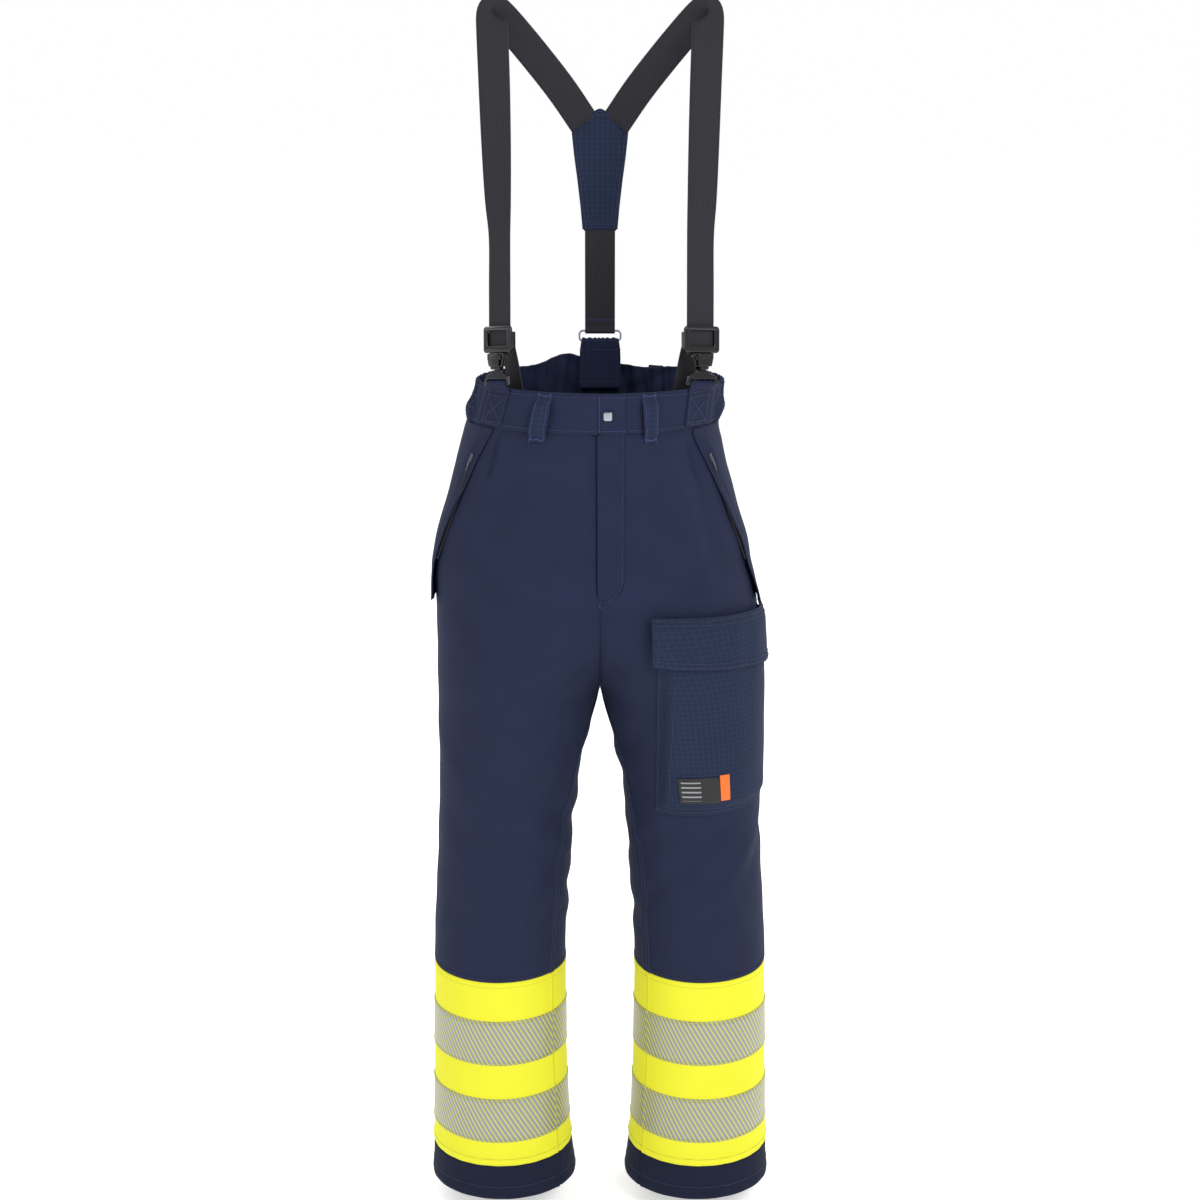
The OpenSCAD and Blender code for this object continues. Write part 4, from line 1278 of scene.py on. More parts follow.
def make_cargo():
    """The thigh pocket on the wearer's left with its flap, label and tab."""
    z = rows(-300, -546, -552, step=5)
    t = np.unique(np.concatenate([np.linspace(0, 1, 44), np.linspace(0, 0.09, 9),
                                  np.linspace(0.91, 1, 9)]))
    zz, a, grid = cargo_grid(z, t, 0, lambda z, t: cargo_puff(z, t) + 1.6)
    pocket = sheet_mesh("cargo_pocket_cloth", grid, chart(zz, a), 1.6 * MM, MATS["ripstop"])
    place(pocket, "root", "ripstop_navy", "cargo_pocket")
    declare(pocket, "stretched", ["front_panel_cloth_left"])
    line = np.linspace(0.012, 0.99, 60)
    for height in (-546.5, -541.0):
        zz, a, grid = cargo_grid(np.array([height]) * MM, line, 0,
                                 lambda z, t: cargo_puff(z, t) + 1.9)
        stitch("root", grid[0])
    side_z = rows(-366, -548, step=4)
    for share in (0.012, 0.105, 0.9, 0.985):
        zz, a, grid = cargo_grid(side_z, np.array([share]), 0,
                                 lambda z, t: cargo_puff(z, t) + 1.9)
        stitch("root", grid[:, 0])

    def flap_off(u, t):
        under = cargo_puff(CARGO_TOP - 0.06 + 0 * u, np.clip(t, 0.1, 0.9))
        lip = 0.9 * np.exp(-((u - 0.97) / 0.07) ** 2)
        drop = (under - 1.0) * ease(0.25, -0.05, u) * 0.8
        return under + 5.4 - drop + lip + 0.8 * np.sin(7 * t + 1) * u

    def flap_grid(u, t, lift=0.0):
        uu, tt = np.meshgrid(u, t, indexing="ij")
        z = (-279 - 17 * tt - (62 + 10 * tt) * uu) * MM
        front = -angle_at(z, CARGO_FRONT - (7.5 - 3 * uu) * MM)
        a = front + (CARGO_REAR + 2.7 - front) * tt
        return z, a, cloth(1, z, a, (flap_off(uu, tt) + lift) * MM, 0.35)

    u = np.unique(np.concatenate([np.linspace(0, 1, 17), [0.02, 0.05, 0.92, 0.96, 0.985]]))
    t = columns(46, (0.01, 0.02, 0.035))
    zz, a, grid = flap_grid(u, t)
    flap = sheet_mesh("cargo_flap_cloth", grid, chart(zz, a), 1.8 * MM, MATS["ripstop"])
    middle = skin(CARGO_TOP, -46.0, 15 * MM)
    bend(flap, "cargo_flap_body", (middle, middle - np.array([0, 0, 8 * MM])), "ripstop_navy",
         "cargo_flap")
    declare(flap, "hung", ["cargo_pocket_cloth"])
    for share, body in ((0.055, "root"), (0.13, "root"), (0.87, "cargo_flap_body"),
                        (0.95, "cargo_flap_body")):
        stitch(body, flap_grid(np.array([share]), line, 0.3)[2][0])
    for share in (0.025, 0.975):
        stitch("cargo_flap_body", flap_grid(np.linspace(0.15, 0.93, 14), np.array([share]),
                                            0.3)[2][:, 0])
    make_labels()


def make_labels():
    """A black woven label and an orange tab beside it, both without any lettering."""
    for name, node, slot, a0, a1, z0, z1, finish in (
            ("label_patch_cloth", "label_patch", "label_black", -99.0, -70.0, -496, -531, "label"),
            ("label_tab_cloth", "label_tab", "label_orange", -69.4, -62.4, -494, -529,
             "label_tab")):
        z = rows(z0, z1, step=4)
        a = np.linspace(a0, a1, 14)
        zz, aa = np.meshgrid(z, a, indexing="ij")
        front = -angle_at(zz, CARGO_FRONT)
        t = (aa - front) / (CARGO_REAR - front)
        grid = cloth(1, zz, aa, (cargo_puff(zz, t) + 3.0) * MM, 0.35)
        uv = np.stack([np.radians(aa - a0) * 0.11, zz - z1 * MM], -1)
        piece = sheet_mesh(name, grid, uv, 0.9 * MM, MATS[finish])
        place(piece, "root", slot, node)
        declare(piece, "laid", ["cargo_pocket_cloth"])


# ---------------------------------------------------------------- braces
BUCKLE = np.array([124, -65, 60]) * MM
TILT = math.radians(10.4)
YAW = {1: math.radians(30), -1: math.radians(46)}


def along_strap(s):
    return BUCKLE / MM + s * np.array([0, math.sin(TILT), math.cos(TILT)])


def buckle_matrix(side):
    """Places a part at a buckle: z up along the strap and -y to the front."""
    flip = Matrix.Scale(-1, 4, (1, 0, 0)) if side < 0 else Matrix.Identity(4)
    return (flip @ Matrix.Translation(BUCKLE) @ Matrix.Rotation(-TILT, 4, "X")
            @ Matrix.Rotation(YAW[side], 4, "Z"))


def resample(path, wide, width, count):
    """Smooths a few stations of a strap into many."""
    return (curve_through(path, count), curve_through(wide, count),
            np.interp(np.linspace(0, len(path) - 1, count), np.arange(len(path)), width))


def straps_front(side):
    """Stations of a brace from the buckle up, over the shoulder and down to the yoke."""
    turn = YAW[side]
    low = [along_strap(s) for s in (-20, 60, 125)]
    high = [[126, -32, 230], [128, -20, 300], [130, -9, 370], [132, 2, 425], [133, 12, 452]]
    back = [[129, 19, 453], [112, 32, 435], [80, 55, 396], [48, 78, 354], [20, 99, 312]]
    twist = [0, 0, 0, 0.3, 0.6, 0.85, 1, 1]
    wide = []
    for k in twist:
        a = turn * (1 - k)
        x, y = math.cos(a), math.sin(a)
        wide.append([x, y * math.cos(TILT), -y * math.sin(TILT)])
    slope = np.array([-109.0, 80, -135])
    rear = np.cross([0.28, 0.9, 0.33], slope)
    rear /= np.linalg.norm(rear)
    wide[7] = (np.array(wide[7]) + rear) / 2
    wide += [rear] * 5
    path = np.array([list(p) for p in low] + high + back, float)
    wide = np.array(wide, float)
    path[:, 0] *= side
    wide[:, 0] *= side
    return path * MM, wide


def make_braces():
    """Both front straps, their loose ends, the yoke and the strap down the back."""
    for side, name in ((1, "left"), (-1, "right")):
        path, wide = straps_front(side)
        path, wide, width = resample(path, wide, [38 * MM] * len(path), 110)
        strap = ribbon("brace_strap_cloth_" + name, path, wide * side, width, 2.0 * MM,
                       MATS["webbing"], cols=9, crown=0.25 * MM)
        place(strap, "braces", "webbing_black", "brace_strap_" + name)
        declare(strap, "stretched", ["adjuster_shape_" + name])
    tails = []
    for side in (1, -1):
        turn = YAW[side] + math.radians(14)
        path = np.array([[117, -50, 58], [111, -51, 30], [106, -53, 0], [102, -54, -32]]) * MM
        wide = np.array([[math.cos(turn), math.sin(turn), 0]] * 4)
        path[:, 0] *= side
        wide[:, 0] *= side
        path, wide, width = resample(path, wide, [38 * MM] * 4, 22)
        tails.append(ribbon("tail_%d" % (side > 0), path, wide * side, width, 2.0 * MM,
                            MATS["webbing"]))
    pair(tails, "brace_tails_cloth", 1.0, "braces", "webbing_black", ["brace_tails"], "hung",
         ["adjuster_shape_left", "adjuster_shape_right"])
    make_yoke()


def yoke_grid(off, inset=0.0, count=26):
    """The patch that joins the straps: a pointed top, then narrower down to the strap."""
    z = np.array([330, 322, 312, 300, 270, 240, 205, 176.0])
    y = np.array([97, 99.4, 101.6, 104, 106.8, 109, 111.4, 113.0])
    w = np.array([5, 32, 54, 69, 63, 55, 47, 42.0]) - 2 * inset
    z[0] -= inset
    z[-1] += inset
    zz = np.concatenate([np.linspace(z[0], 300, 10), np.linspace(297, z[-1], count - 10)])
    yy = np.interp(zz, z[::-1], y[::-1])
    ww = np.interp(zz, z[::-1], w[::-1])
    s = np.linspace(0.5, -0.5, 15)
    x = ww[:, None] * s[None, :]
    return np.stack([x, (yy + off)[:, None] + 0 * x, zz[:, None] + 0 * x], -1) * MM


def make_yoke():
    """The patch where the straps meet, its stitching, and the strap down to the ring."""
    grid = yoke_grid(3.4)
    yoke = sheet_mesh("brace_yoke_cloth", grid, grid[..., (0, 2)], 5.2 * MM, MATS["ripstop"])
    place(yoke, "braces", "ripstop_navy", "brace_yoke")
    declare(yoke, "folded", ["brace_strap_cloth_left", "brace_strap_cloth_right"])
    for off in (3.7, -2.1):
        for inset in (2.5, 7.0):
            edge = yoke_grid(off, inset)
            stitch("braces", edge[:, 0])
            stitch("braces", edge[:, -1])
            stitch("braces", edge[-1])
    path = np.array([[0, 113.2, 178], [0, 114, 120], [0, 113, 60], [0, 112.4, 49],
                     [0, 110.9, 46], [0, 110.4, 44], [0, 111.2, 41.6], [0, 113, 41],
                     [0, 114.9, 41.8], [0, 115.9, 44], [0, 116.1, 48], [0, 116.2, 66]]) * MM
    wide = np.array([[-1.0, 0, 0]] * len(path))
    path, wide, width = resample(path, wide, [38 * MM] * len(path), 90)
    strap = ribbon("brace_back_cloth", path, wide, width, 1.7 * MM, MATS["webbing"])
    place(strap, "braces", "webbing_black", "brace_back_strap")
    declare(strap, "stretched", ["brace_yoke_cloth", "rear_ring"])
    for height, y in ((57, 111.6), (59.2, 111.6), (57, 117.5), (59.2, 117.5)):
        x = np.linspace(-17, 17, 18)
        row = np.stack([x, y + 0 * x, height + 0 * x], -1) * MM
        stitch("braces_blue", row)


def make_rear_tab():
    """The gathered cloth tab that holds the ring at the back of the waist."""
    path = np.array([[0, 110.4, -31], [0, 110.8, -8], [0, 110.2, 14], [0, 109.9, 26],
                     [0, 110.2, 31], [0, 113, 33.8], [0, 115.8, 31], [0, 115.6, 26],
                     [0, 114.6, 14], [0, 115.8, -8], [0, 117.4, -31]]) * MM
    width = np.array([53, 53, 52.5, 50, 48, 46, 48, 50, 52.5, 53, 53.0]) * MM
    wide = np.array([[-1.0, 0, 0]] * len(path))
    path, wide, width = resample(path, wide, width, 90)
    height = path[:, 2] / MM
    cols = 27
    s = np.linspace(-0.5, 0.5, cols)
    grid = path[:, None] + (wide * width[:, None])[:, None] * s[None, :, None]
    run = np.gradient(path, axis=0)
    n = np.cross(run, wide)
    n /= np.linalg.norm(n, axis=1, keepdims=True)
    pleat = np.sin(s * 46 + 1.5 * np.sin(s * 9))[None, :] * (
        0.25 + 0.75 * ease(-20, 24, height))[:, None] * 0.85 * MM
    grid = grid + n[:, None] * (pleat[..., None] + 1.0 * MM)
    along = np.concatenate([[0], np.cumsum(np.linalg.norm(np.diff(path, axis=0), axis=1))])
    uv = np.stack(np.broadcast_arrays(s[None, :] * 0.055, along[:, None]), -1)
    tab = sheet_mesh("rear_tab_cloth", grid, uv, 1.5 * MM, MATS["shell"])
    place(tab, "root", "ripstop_navy", "rear_tab")
    declare(tab, "gathered", ["waistband_back_cloth", "rear_ring"], 1.15)
    low = int(np.argmin(np.abs(height[:45] - 20)))
    high = 89 - int(np.argmin(np.abs(height[::-1][:45] - 20)))
    for row in (low, high):
        stitch("root", grid[row] + n[row] * 0.5 * MM)
    for start, end in ((2, low), (high, 87)):
        for col in (2, cols - 3):
            stitch("root", grid[start:end, col] + n[start:end] * 0.5 * MM)
    for row in (3, 86):
        stitch("root", grid[row] + n[row] * 0.5 * MM)


def make_brace_loops():
    """Cloth loops round the bars of the lower hooks, sewn to the outside of the band."""
    for side, name in ((1, "left"), (-1, "right")):
        m = np.array(buckle_matrix(side))
        centre = -38 if side > 0 else -37
        turn = np.radians(np.linspace(200, -60, 16))
        bar = [[x, -4.5 - 3.1 * math.cos(t), -56 + 3.1 * math.sin(t)]
               for t in turn for x in (-17, 17)]
        bar = np.array(bar).reshape(16, 2, 3) * MM
        bar = np.einsum("ij,rcj->rci", m[:3, :3], bar) + m[:3, 3]
        z = rows(-3, -46, step=5)
        half = np.degrees(16.5 / 122)
        ends = np.stack([cloth(side, z, centre - half + 0 * z, 2.7 * MM, 0),
                         cloth(side, z, centre + half + 0 * z, 2.7 * MM, 0)], 1)
        if side < 0:
            bar = bar[:, ::-1] if bar[0, 0, 0] > bar[0, 1, 0] else bar
            ends = ends[:, ::-1] if ends[0, 0, 0] > ends[0, 1, 0] else ends
        path = np.concatenate([bar, ends])
        s = np.linspace(0, 1, 11)[None, :, None]
        grid = path[:, :1] * (1 - s) + path[:, 1:] * s
        uv = np.stack(np.broadcast_arrays(s[..., 0] * 0.034,
                                          np.linspace(0, 0.07, len(path))[:, None]), -1)
        loop = sheet_mesh("brace_loop_cloth_" + name, grid, uv, 1.3 * MM, MATS["shell"])
        place(loop, "root", "shell_navy", "brace_loop_" + name)
        declare(loop, "folded", ["waistband_front_cloth_" + name])
        box = [(-0.86, -10), (0.86, -10), (0.86, -42), (-0.86, -42), (-0.86, -10), (0.86, -42),
               (0.86, -10), (-0.86, -42)]
        for (a0, z0), (a1, z1) in zip(box, box[1:]):
            k = np.linspace(0, 1, 14)
            stitch("root", cloth(side, (z0 + (z1 - z0) * k) * MM,
                                 centre + half * (a0 + (a1 - a0) * k), 3.1 * MM, 0))


# ---------------------------------------------------------------- hardware
def flat_on(matrix, y=0.0, z=0.0):
    """Stands a plate up: its x stays, its y points up and its top faces -y."""
    return matrix @ Matrix.Translation((0, y * MM, z * MM)) @ Matrix.Rotation(math.pi / 2, 4, "X")


def box2(x0, x1, z0, z1):
    return [(x0, z0), (x1, z0), (x1, z1), (x0, z1)]


def rod(name, start, end, radius, material, matrix):
    """A short round bar between two points in mm, with eased ends."""
    p = np.array([start, end], float)
    k = np.array([0, 0.01, 0.03, 0.5, 0.97, 0.99, 1.0])
    path = (p[0] + (p[1] - p[0]) * k[:, None]) * MM
    piece = wire(name, path, radius * MM * np.array([0.6, 0.9, 1, 1, 1, 0.9, 0.6]), material, 14)
    piece.data.transform(matrix)
    return piece


def make_buckles():
    """Slide adjusters, clips with their levers, and the hooks that hang from the waist."""
    black = MATS["plastic"]
    for side, name in ((1, "left"), (-1, "right")):
        m = buckle_matrix(side)
        frame_plate = [rounded(box2(-25.5, 25.5, -18, 15), 4.5), rounded(box2(-18, 18, -9.6, 10), 2)]
        parts = [plate("a", frame_plate, 3.5, 1.1, black, flat_on(m, -3.25))]
        for x in (-22.9, 22.9):
            parts.append(plate("b", [rounded(box2(x - 2.5, x + 2.5, -13.8, 7.8), 1.2)], 7.4, 0.8,
                               black, flat_on(m, 0.1)))
        parts.append(plate("c", [rounded(box2(-25.3, 25.3, -13.9, -6.2), 2)], 2, 0.6, black,
                           flat_on(m, 2.8)))
        parts.append(rod("d", (-24, -3.2, 12.4), (24, -3.2, 12.4), 2.3, black, m))
        place(join("adjuster_shape_" + name, parts), "buckle_" + name, "buckle_black",
              "adjuster_" + name)
        body = [(-15, -18.3), (15, -18.3), (15, -24), (12.2, -35), (-12.2, -35), (-15, -24)]
        parts = [plate("a", [rounded(body, [2, 2, 3, 3, 3, 3])], 3, 1.0, black, flat_on(m, -3.5))]
        cheek = [(9.4, -18.8), (14.9, -18.8), (14.9, -24), (12.4, -34.5), (9.4, -34.5)]
        for sign in (1, -1):
            points = [(sign * x, z) for x, z in cheek][::sign]
            parts.append(plate("b", [rounded(points, 1.2)], 3.4, 0.8, black, flat_on(m, -6.4)))
            ear = box2(*sorted((sign * 9.6, sign * 12)), -27, -22)
            parts.append(plate("c", [rounded(ear, 1)], 2.6, 0.5, black, flat_on(m, -9.1)))
        place(join("clip_shape_" + name, parts), "buckle_" + name, "buckle_black",
              "clip_body_" + name)
        pin = Matrix.Translation((0, -9.2 * MM, -24.5 * MM))
        tongue = [(-9, 5.5), (9, 5.5), (9, -9.6), (6, -10), (6, -14.2), (-6, -14.2), (-6, -10),
                  (-9, -9.6)]
        lever = [plate("a", [rounded(tongue, [3, 3, 1.5, 0.6, 2, 2, 0.6, 1.5])], 1.6, 0.5, black,
                       flat_on(m @ pin, -0.8)),
                 rod("b", (-12, 0, 0), (12, 0, 0), 0.6, black, m @ pin)]
        for z in (3.2, 1.4, -0.4):
            lever.append(rod("c", (-6.5, -1.6, z), (6.5, -1.6, z), 0.45, black, m @ pin))
        place(join("lever_shape_" + name, lever), "clip_lever_%s_body" % name, "buckle_black",
              "clip_lever_" + name)
        outer = [(-8.5, -39.3), (8.5, -39.3), (10, -42), (21, -47), (24, -58), (19.4, -58),
                 (17.6, -50), (-17.6, -50), (-19.4, -58), (-24, -58), (-21, -47), (-10, -42)]
        radii = [1.2, 1.2, 1.5, 4, 1.6, 0.8, 2.2, 2.2, 0.8, 1.6, 4, 1.5]
        hook = [plate("a", [rounded(outer[::-1], radii[::-1])], 2.4, 0.8, black,
                      flat_on(m, -4.5)),
                plate("c", [rounded(box2(-8, 8, -45, -29), 2)], 1.3, 0.5, black,
                      flat_on(m, -1.2)),
                plate("d", [rounded(box2(-8, 8, -44.5, -39.6), 1)], 4.4, 0.6, black,
                      flat_on(m, -2.8)),
                rod("b", (-20.5, -4.5, -56), (20.5, -4.5, -56), 1.5, black, m)]
        place(join("hook_shape_" + name, hook), "lower_hook_%s_body" % name, "buckle_black",
              "lower_hook_" + name)


def make_ring_and_snap():
    """The wire ring at the back and the snap at the waist."""
    outline = rounded(box2(-27, 27, 31, 44), 4, 8)
    path = np.array([[x, 113, z] for x, z in outline]) * MM
    path = np.concatenate([[p, (p + q) / 2] for p, q in zip(path, np.roll(path, -1, 0))])
    ring = wire("rear_ring_wire", path, 1.4 * MM, MATS["steel"], 14, closed=True)
    place(ring, "ring", "ring_steel", "rear_ring")
    m = Matrix.Translation((9.6 * MM, -126.9 * MM, -27 * MM))
    rim = plate("rim", [rounded(box2(-6.1, 6.1, -6.1, 6.1), 3.2, 8)], 1.4, 0.5, MATS["rim"],
                flat_on(m))
    face = plate("face", [rounded(box2(-5.2, 5.2, -5.2, 5.2), 2.6, 8)], 1.6, 0.7, MATS["steel"],
                 flat_on(m, -0.6))
    place(join("snap_cap_shape", [rim, face]), "fly", "ring_steel", "snap_cap")


def pocket_zip_matrix(side):
    """Places a part on a hand pocket's zip: z along it from its foot and -y outwards."""
    a = skin(-82 * MM, -31, 2.6 * MM)
    b = skin(-226 * MM, -18.5, 2.6 * MM)
    up = (a - b) / np.linalg.norm(a - b)
    face = np.array([math.cos(math.radians(-26)), math.sin(math.radians(-26)), 0])
    y = (face @ up) * up - face
    y /= np.linalg.norm(y)
    m = Matrix.Identity(4)
    for k, axis in enumerate((np.cross(y, up), y, up, b)):
        for i in range(3):
            m[i][k] = axis[i]
    flip = Matrix.Scale(-1, 4, (1, 0, 0)) if side < 0 else Matrix.Identity(4)
    aside = Matrix.Translation((-11 * MM, 0, 0))
    return aside @ flip @ m, float(np.linalg.norm(a - b))


def zip_strip(name, x0, x1, y, z0, z1, matrix):
    """A flat zip tape in a part's own x and z."""
    z = np.linspace(z0, z1, 24) * MM
    x = np.linspace(x0, x1, 5) * MM
    grid = np.stack(np.broadcast_arrays(x[None, :], y * MM, z[:, None]), -1)
    piece = sheet_mesh(name, grid, grid[..., (0, 2)], 0.7 * MM, MATS["zip_tape"])
    piece.data.transform(matrix)
    return piece


def make_zips(settings):
    """Tapes and teeth of the fly and of both hand pockets, and the sliders of the hand pockets."""
    teeth = repeat_tree("zip_teeth_tree", tooth_solid)
    z = rows(-52, -252, step=10)
    tapes = []
    for k, (x0, x1) in enumerate(((-2, 7), (17, 28))):
        grid, uv = across(1, z, x0 * MM, x1 * MM, 6, -5.6 * MM, 0)
        tapes.append(sheet_mesh("fly_tape_%d" % k, grid, uv, 0.8 * MM, MATS["zip_tape"]))
    pair(tapes, "fly_zip_tape_cloth", 1.0, "root", "zip_black", ["fly_zip_tapes"], "hung",
         ["fly_guard_cloth"])
    rail = [np.array([[x, -120.8, -54], [x, -120.8, -252]]) * MM for x in (10.9, 13.1)]
    made = along_lines("fly_zip_teeth_row", rail, teeth, settings.tooth_pitch, 1.9 * MM,
                       1.3 * MM, MATS["zip_teeth"])
    core = zip_strip("fly_zip_core", 7.0, 17.0, -121.3, -251.8, -54.2, Matrix.Identity(4))
    FLATS.pop("fly_zip_core")
    place(join("fly_zip_teeth_row", [made, core]), "root", "zip_black", "fly_zip_teeth")
    for side, name in ((1, "left"), (-1, "right")):
        m, long = pocket_zip_matrix(side)
        long /= MM
        tape = zip_strip("hand_zip_tape_" + name, -2.8, 6, -0.7, 0.2, long - 0.2, m)
        rail = [np.array([[x, -1.6, 1.5], [x, -1.6, long - 1.5]]) * MM for x in (-1.1, 1.1)]
        world = np.array(m)
        rail = [line @ world[:3, :3].T + world[:3, 3] for line in rail]
        row = along_lines("row", rail, teeth, settings.tooth_pitch, 1.9 * MM, 1.3 * MM,
                          MATS["zip_teeth"])
        flat = FLATS.pop(tape.name)
        tape = join("hand_zip_" + name, [tape, row])
        FLATS[tape.name] = flat
        place(tape, "root", "zip_black", "hand_pocket_zip_" + name)
        m = m @ Matrix.Translation((0, 0, (long - 14) * MM))
        body = [(-3, 0.5), (-1.8, 0), (1.8, 0), (3, 0.5), (3, 9.5), (1.2, 11), (-1.2, 11), (-3, 9.5)]
        parts = [plate("a", [rounded(body, 0.8)], 1.0, 0.3, MATS["slider"], flat_on(m, -2.8)),
                 plate("b", [rounded(box2(-1.5, 1.5, -13, 6), 1.2), rounded(box2(-0.7, 0.7, -12, -7), 0.6)],
                       0.8, 0.25, MATS["slider"], flat_on(m, -3.8))]
        place(join("hand_slider_shape_" + name, parts), "pocket_slider_" + name,
              "zip_slider_grey", "hand_pocket_slider_" + name)
    for label, lift, kind in (("cargo_hook_tape", 3.5, "hook"), ("cargo_loop_tape", 2.5, "loop")):
        z = rows(-322, -344, step=3)
        a = np.linspace(-78, -30, 26)
        zz, aa = np.meshgrid(z, a, indexing="ij")
        front = -angle_at(zz, CARGO_FRONT)
        share = (aa - front) / (CARGO_REAR - front)
        grid = cloth(1, zz, aa, (cargo_puff(zz, share) + lift) * MM, 0.35)
        patch = sheet_mesh(kind + "_patch_cloth", grid, chart(zz, aa), 0.7 * MM,
                           MATS["hook_loop"])
        place(patch, "cargo_flap_body" if kind == "hook" else "root", "zip_black", label)
        declare(patch, "laid", ["cargo_flap_cloth" if kind == "hook" else "cargo_pocket_cloth"])


# Which body each set of stitches rides on, its thread and its material slot.
THREADS = {
    "root": ("root", "dark_thread", "shell_navy"),
    "root_fly": ("root", "dark_thread", "shell_navy"),
    "root_loop": ("root", "thread", "ripstop_navy"),
    "root_bright": ("root", "bright_thread", "hi_vis_yellow"),
    "fly": ("fly", "thread", "shell_navy"),
    "hand_flap_left": ("hand_flap_left", "dark_thread", "shell_navy"),
    "hand_flap_right": ("hand_flap_right", "dark_thread", "shell_navy"),
    "cargo_flap_body": ("cargo_flap_body", "dark_thread", "ripstop_navy"),
    "braces": ("braces", "dark_thread", "ripstop_navy"),
    "braces_blue": ("braces", "thread", "webbing_black"),
}


def sew(settings):
    """Turns every noted row into thread with a node tree."""
    tree = repeat_tree("stitch_tree", thread_solid)
    for key, lines in STITCHES.items():
        body, thread, slot = THREADS[key]
        piece = along_lines("stitches_" + key, lines, tree, settings.stitch_pitch,
                            settings.stitch_length, settings.thread_radius, MATS[thread])
        place(piece, body, slot)


# Finishes of the CAD nodes that are shown as they are.
KEPT_NODES = {"fly_zip_slider": "slider", "fly_zip_pull": "slider", "snap_stud": "steel"}


def finish_kept():
    for name, finish in KEPT_NODES.items():
        node = frame["nodes"][name]
        node.data.materials.clear()
        node.data.materials.append(MATS[finish])


# ---------------------------------------------------------------- stage
def area_light(name, place_at, target, size, energy):
    lamp = bpy.data.lights.new(name, "AREA")
    lamp.size = size
    lamp.energy = energy
    holder = bpy.data.objects.new(name, lamp)
    holder.location = place_at
    aim = Vector(target) - Vector(place_at)
    holder.rotation_euler = aim.to_track_quat("-Z", "Y").to_euler()
    bpy.context.scene.collection.objects.link(holder)


def make_stage(settings):
    """A pale floor, soft studio light and the camera."""
    scene = bpy.context.scene
    size, depth = 200.0, LEG_END - settings.floor_gap
    points = [(-size, -size, depth), (size, -size, depth), (size, size, depth), (-size, size, depth)]
    white = Finish("studio_floor", (0.9, 0.9, 0.9, 1), 0.9)
    white.give("Emission Color", (1, 1, 1, 1))
    white.give("Emission Strength", settings.floor_glow)
    floor = new_mesh("studio_floor", points, [(0, 1, 2, 3)], np.array(points)[:, :2],
                     white.material)
    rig.stage(floor)
    world = bpy.data.worlds.new("studio")
    world.use_nodes = True
    sky = next(n for n in world.node_tree.nodes if n.type == "BACKGROUND")
    sky.inputs[0].default_value = (1, 1, 1, 1)
    sky.inputs[1].default_value = settings.fill_light
    scene.world = world
    middle = (0, 0, -0.3)
    area_light("key", (1.9, -2.7, 2.0), middle, 1.6, settings.key_light)
    area_light("side", (-2.6, -1.6, 1.2), middle, 2.0, settings.key_light * 0.35)
    area_light("back_left", (-2.0, 2.6, 1.8), middle, 2.0, settings.key_light * 0.6)
    area_light("back_right", (2.4, 2.2, 1.4), middle, 2.0, settings.key_light * 0.6)
    scene.view_settings.view_transform = "Standard"
    camera = bpy.data.cameras.new("camera")
    camera.lens = 71.5
    camera.sensor_width = 36
    holder = bpy.data.objects.new("camera", camera)
    holder.location = (0, -3.0, 0.49)
    holder.rotation_euler = (math.radians(90 - 14.6), 0, 0)
    scene.collection.objects.link(holder)
    scene.camera = holder


# ---------------------------------------------------------------- add-on
def swatch(name, what, default):
    return bpy.props.FloatVectorProperty(name=name, description=what, subtype="COLOR", size=4,
                                         min=0.0, max=1.0, default=default)


def length(name, what, default, low, high):
    return bpy.props.FloatProperty(name=name, description=what, default=default, min=low,
                                   max=high, unit="LENGTH", subtype="DISTANCE", precision=5)


class PantsColours(bpy.types.PropertyGroup):
    shell: swatch("Shell", "Colour of the outer cloth", rgb(32, 38, 62))
    ripstop: swatch("Pockets", "Colour of the ripstop pocket, loops and patches", rgb(31, 40, 62))
    lining: swatch("Lining", "Colour of the inner layer", rgb(26, 29, 54))
    bright: swatch("Cuffs", "Colour of the high-visibility cuffs", rgb(226, 224, 52))
    silver: swatch("Tape", "Colour of the reflective tape", rgb(140, 143, 150))
    thread: swatch("Thread", "Colour of the contrasting thread", rgb(58, 64, 118))


class PantsSizes(bpy.types.PropertyGroup):
    stitch_pitch: length("Stitch pitch", "From one stitch to the next", 0.0034, 0.002, 0.008)
    stitch_length: length("Stitch length", "Length of one stitch", 0.0026, 0.001, 0.006)
    thread_radius: length("Thread radius", "Radius of the thread", 0.00036, 0.0002, 0.001)
    tooth_pitch: length("Zip pitch", "From one zip tooth to the next", 0.0026, 0.0015, 0.005)
    floor_gap: length("Floor gap", "Height of the hems over the floor", 0.03, 0.0, 0.5)
    key_light: bpy.props.FloatProperty(name="Key light", description="Power of the main lamp",
                                       default=75.0, min=0.0, max=500.0, unit="POWER")
    fill_light: bpy.props.FloatProperty(name="Fill light", description="Strength of the sky",
                                        default=0.55, min=0.0, max=5.0)
    floor_glow: bpy.props.FloatProperty(name="Floor glow", description="Own light of the floor",
                                        default=0.5, min=0.0, max=2.0)


def done(operator, work, *args):
    """Runs one builder and reports what went wrong if it can't finish."""
    try:
        work(*args)
    except (ValueError, KeyError, IndexError) as problem:
        operator.report({"ERROR"}, "%s: %s" % (operator.bl_label, problem))
        raise
    return {"FINISHED"}


class PANTS_OT_finishes(bpy.types.Operator):
    """Make every cloth, plastic and metal finish"""
    bl_idname = "pants.finishes"
    bl_label = "Finishes"

    def execute(self, context):
        colours = context.scene.pants_colours
        names = ("shell", "ripstop", "lining", "bright", "silver", "thread")
        return done(self, make_finishes, {k: getattr(colours, k) for k in names})


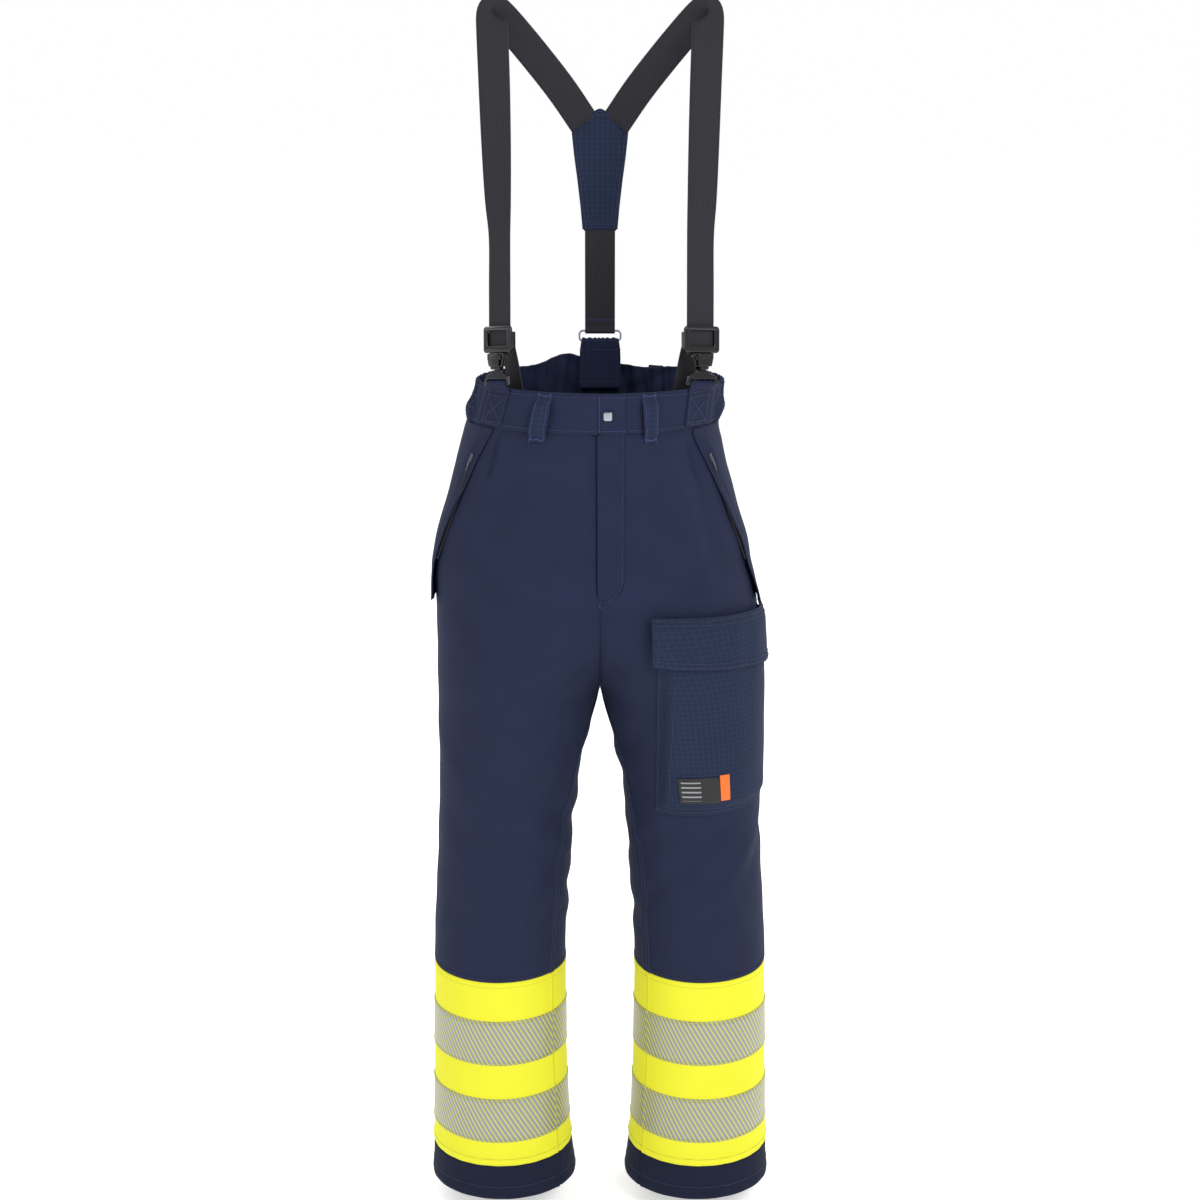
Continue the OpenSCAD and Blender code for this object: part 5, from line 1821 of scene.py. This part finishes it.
class PANTS_OT_legs(bpy.types.Operator):
    """Build the leg panels and the lining"""
    bl_idname = "pants.legs"
    bl_label = "Panels and lining"

    def execute(self, context):
        done(self, make_panels)
        return done(self, make_lining)


class PANTS_OT_cuffs(bpy.types.Operator):
    """Build the bright cuffs, tapes and hems"""
    bl_idname = "pants.cuffs"
    bl_label = "Cuffs"

    def execute(self, context):
        return done(self, make_cuffs)


class PANTS_OT_waist(bpy.types.Operator):
    """Build the waistband, the fly and the belt loops"""
    bl_idname = "pants.waist"
    bl_label = "Waist and fly"

    def execute(self, context):
        done(self, make_waist)
        done(self, make_fly)
        return done(self, make_belt_loops)


class PANTS_OT_pockets(bpy.types.Operator):
    """Build the hand pockets and the thigh pocket"""
    bl_idname = "pants.pockets"
    bl_label = "Pockets"

    def execute(self, context):
        done(self, make_hand_pockets)
        return done(self, make_cargo)


class PANTS_OT_zips(bpy.types.Operator):
    """Build the zips and the hook and loop patches"""
    bl_idname = "pants.zips"
    bl_label = "Zips"

    def execute(self, context):
        return done(self, make_zips, context.scene.pants_sizes)


class PANTS_OT_hardware(bpy.types.Operator):
    """Build the buckles, hooks, ring and snap"""
    bl_idname = "pants.hardware"
    bl_label = "Hardware"

    def execute(self, context):
        done(self, make_buckles)
        done(self, make_ring_and_snap)
        return done(self, finish_kept)


class PANTS_OT_braces(bpy.types.Operator):
    """Build the braces, the yoke, the rear tab and the brace loops"""
    bl_idname = "pants.braces"
    bl_label = "Braces"

    def execute(self, context):
        done(self, make_braces)
        done(self, make_rear_tab)
        return done(self, make_brace_loops)


class PANTS_OT_stitching(bpy.types.Operator):
    """Run thread along every noted seam"""
    bl_idname = "pants.stitching"
    bl_label = "Stitching"

    def execute(self, context):
        return done(self, sew, context.scene.pants_sizes)


class PANTS_OT_stage(bpy.types.Operator):
    """Set up the floor, the light and the camera"""
    bl_idname = "pants.stage"
    bl_label = "Stage"

    def execute(self, context):
        return done(self, make_stage, context.scene.pants_sizes)


class PANTS_PT_panel(bpy.types.Panel):
    """Sizes, colours and the steps in order"""
    bl_idname = "PANTS_PT_panel"
    bl_label = "Bunker pants"
    bl_space_type = "VIEW_3D"
    bl_region_type = "UI"
    bl_category = "Bunker pants"

    def draw(self, context):
        for group in (context.scene.pants_colours, context.scene.pants_sizes):
            column = self.layout.column()
            for name in group.__annotations__:
                column.prop(group, name)
        for step in STEPS:
            self.layout.operator(step.bl_idname)


STEPS = (PANTS_OT_finishes, PANTS_OT_legs, PANTS_OT_cuffs, PANTS_OT_waist, PANTS_OT_pockets,
         PANTS_OT_zips, PANTS_OT_hardware, PANTS_OT_braces, PANTS_OT_stitching, PANTS_OT_stage)
CLASSES = (PantsColours, PantsSizes, *STEPS, PANTS_PT_panel)


def register():
    for cls in CLASSES:
        bpy.utils.register_class(cls)
    bpy.types.Scene.pants_colours = bpy.props.PointerProperty(type=PantsColours)
    bpy.types.Scene.pants_sizes = bpy.props.PointerProperty(type=PantsSizes)


def unregister():
    del bpy.types.Scene.pants_sizes
    del bpy.types.Scene.pants_colours
    for cls in reversed(CLASSES):
        bpy.utils.unregister_class(cls)


def main():
    register()
    for step in STEPS:
        group, name = step.bl_idname.split(".")
        getattr(getattr(bpy.ops, group), name)()
    sizes = {"cad": [list(corner) for corner in CAD_BOX],
             "visual": [list(corner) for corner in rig.bounds()]}
    with open("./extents.json", "w") as out:
        json.dump(sizes, out, indent=1)


if __name__ == "__main__":
    main()
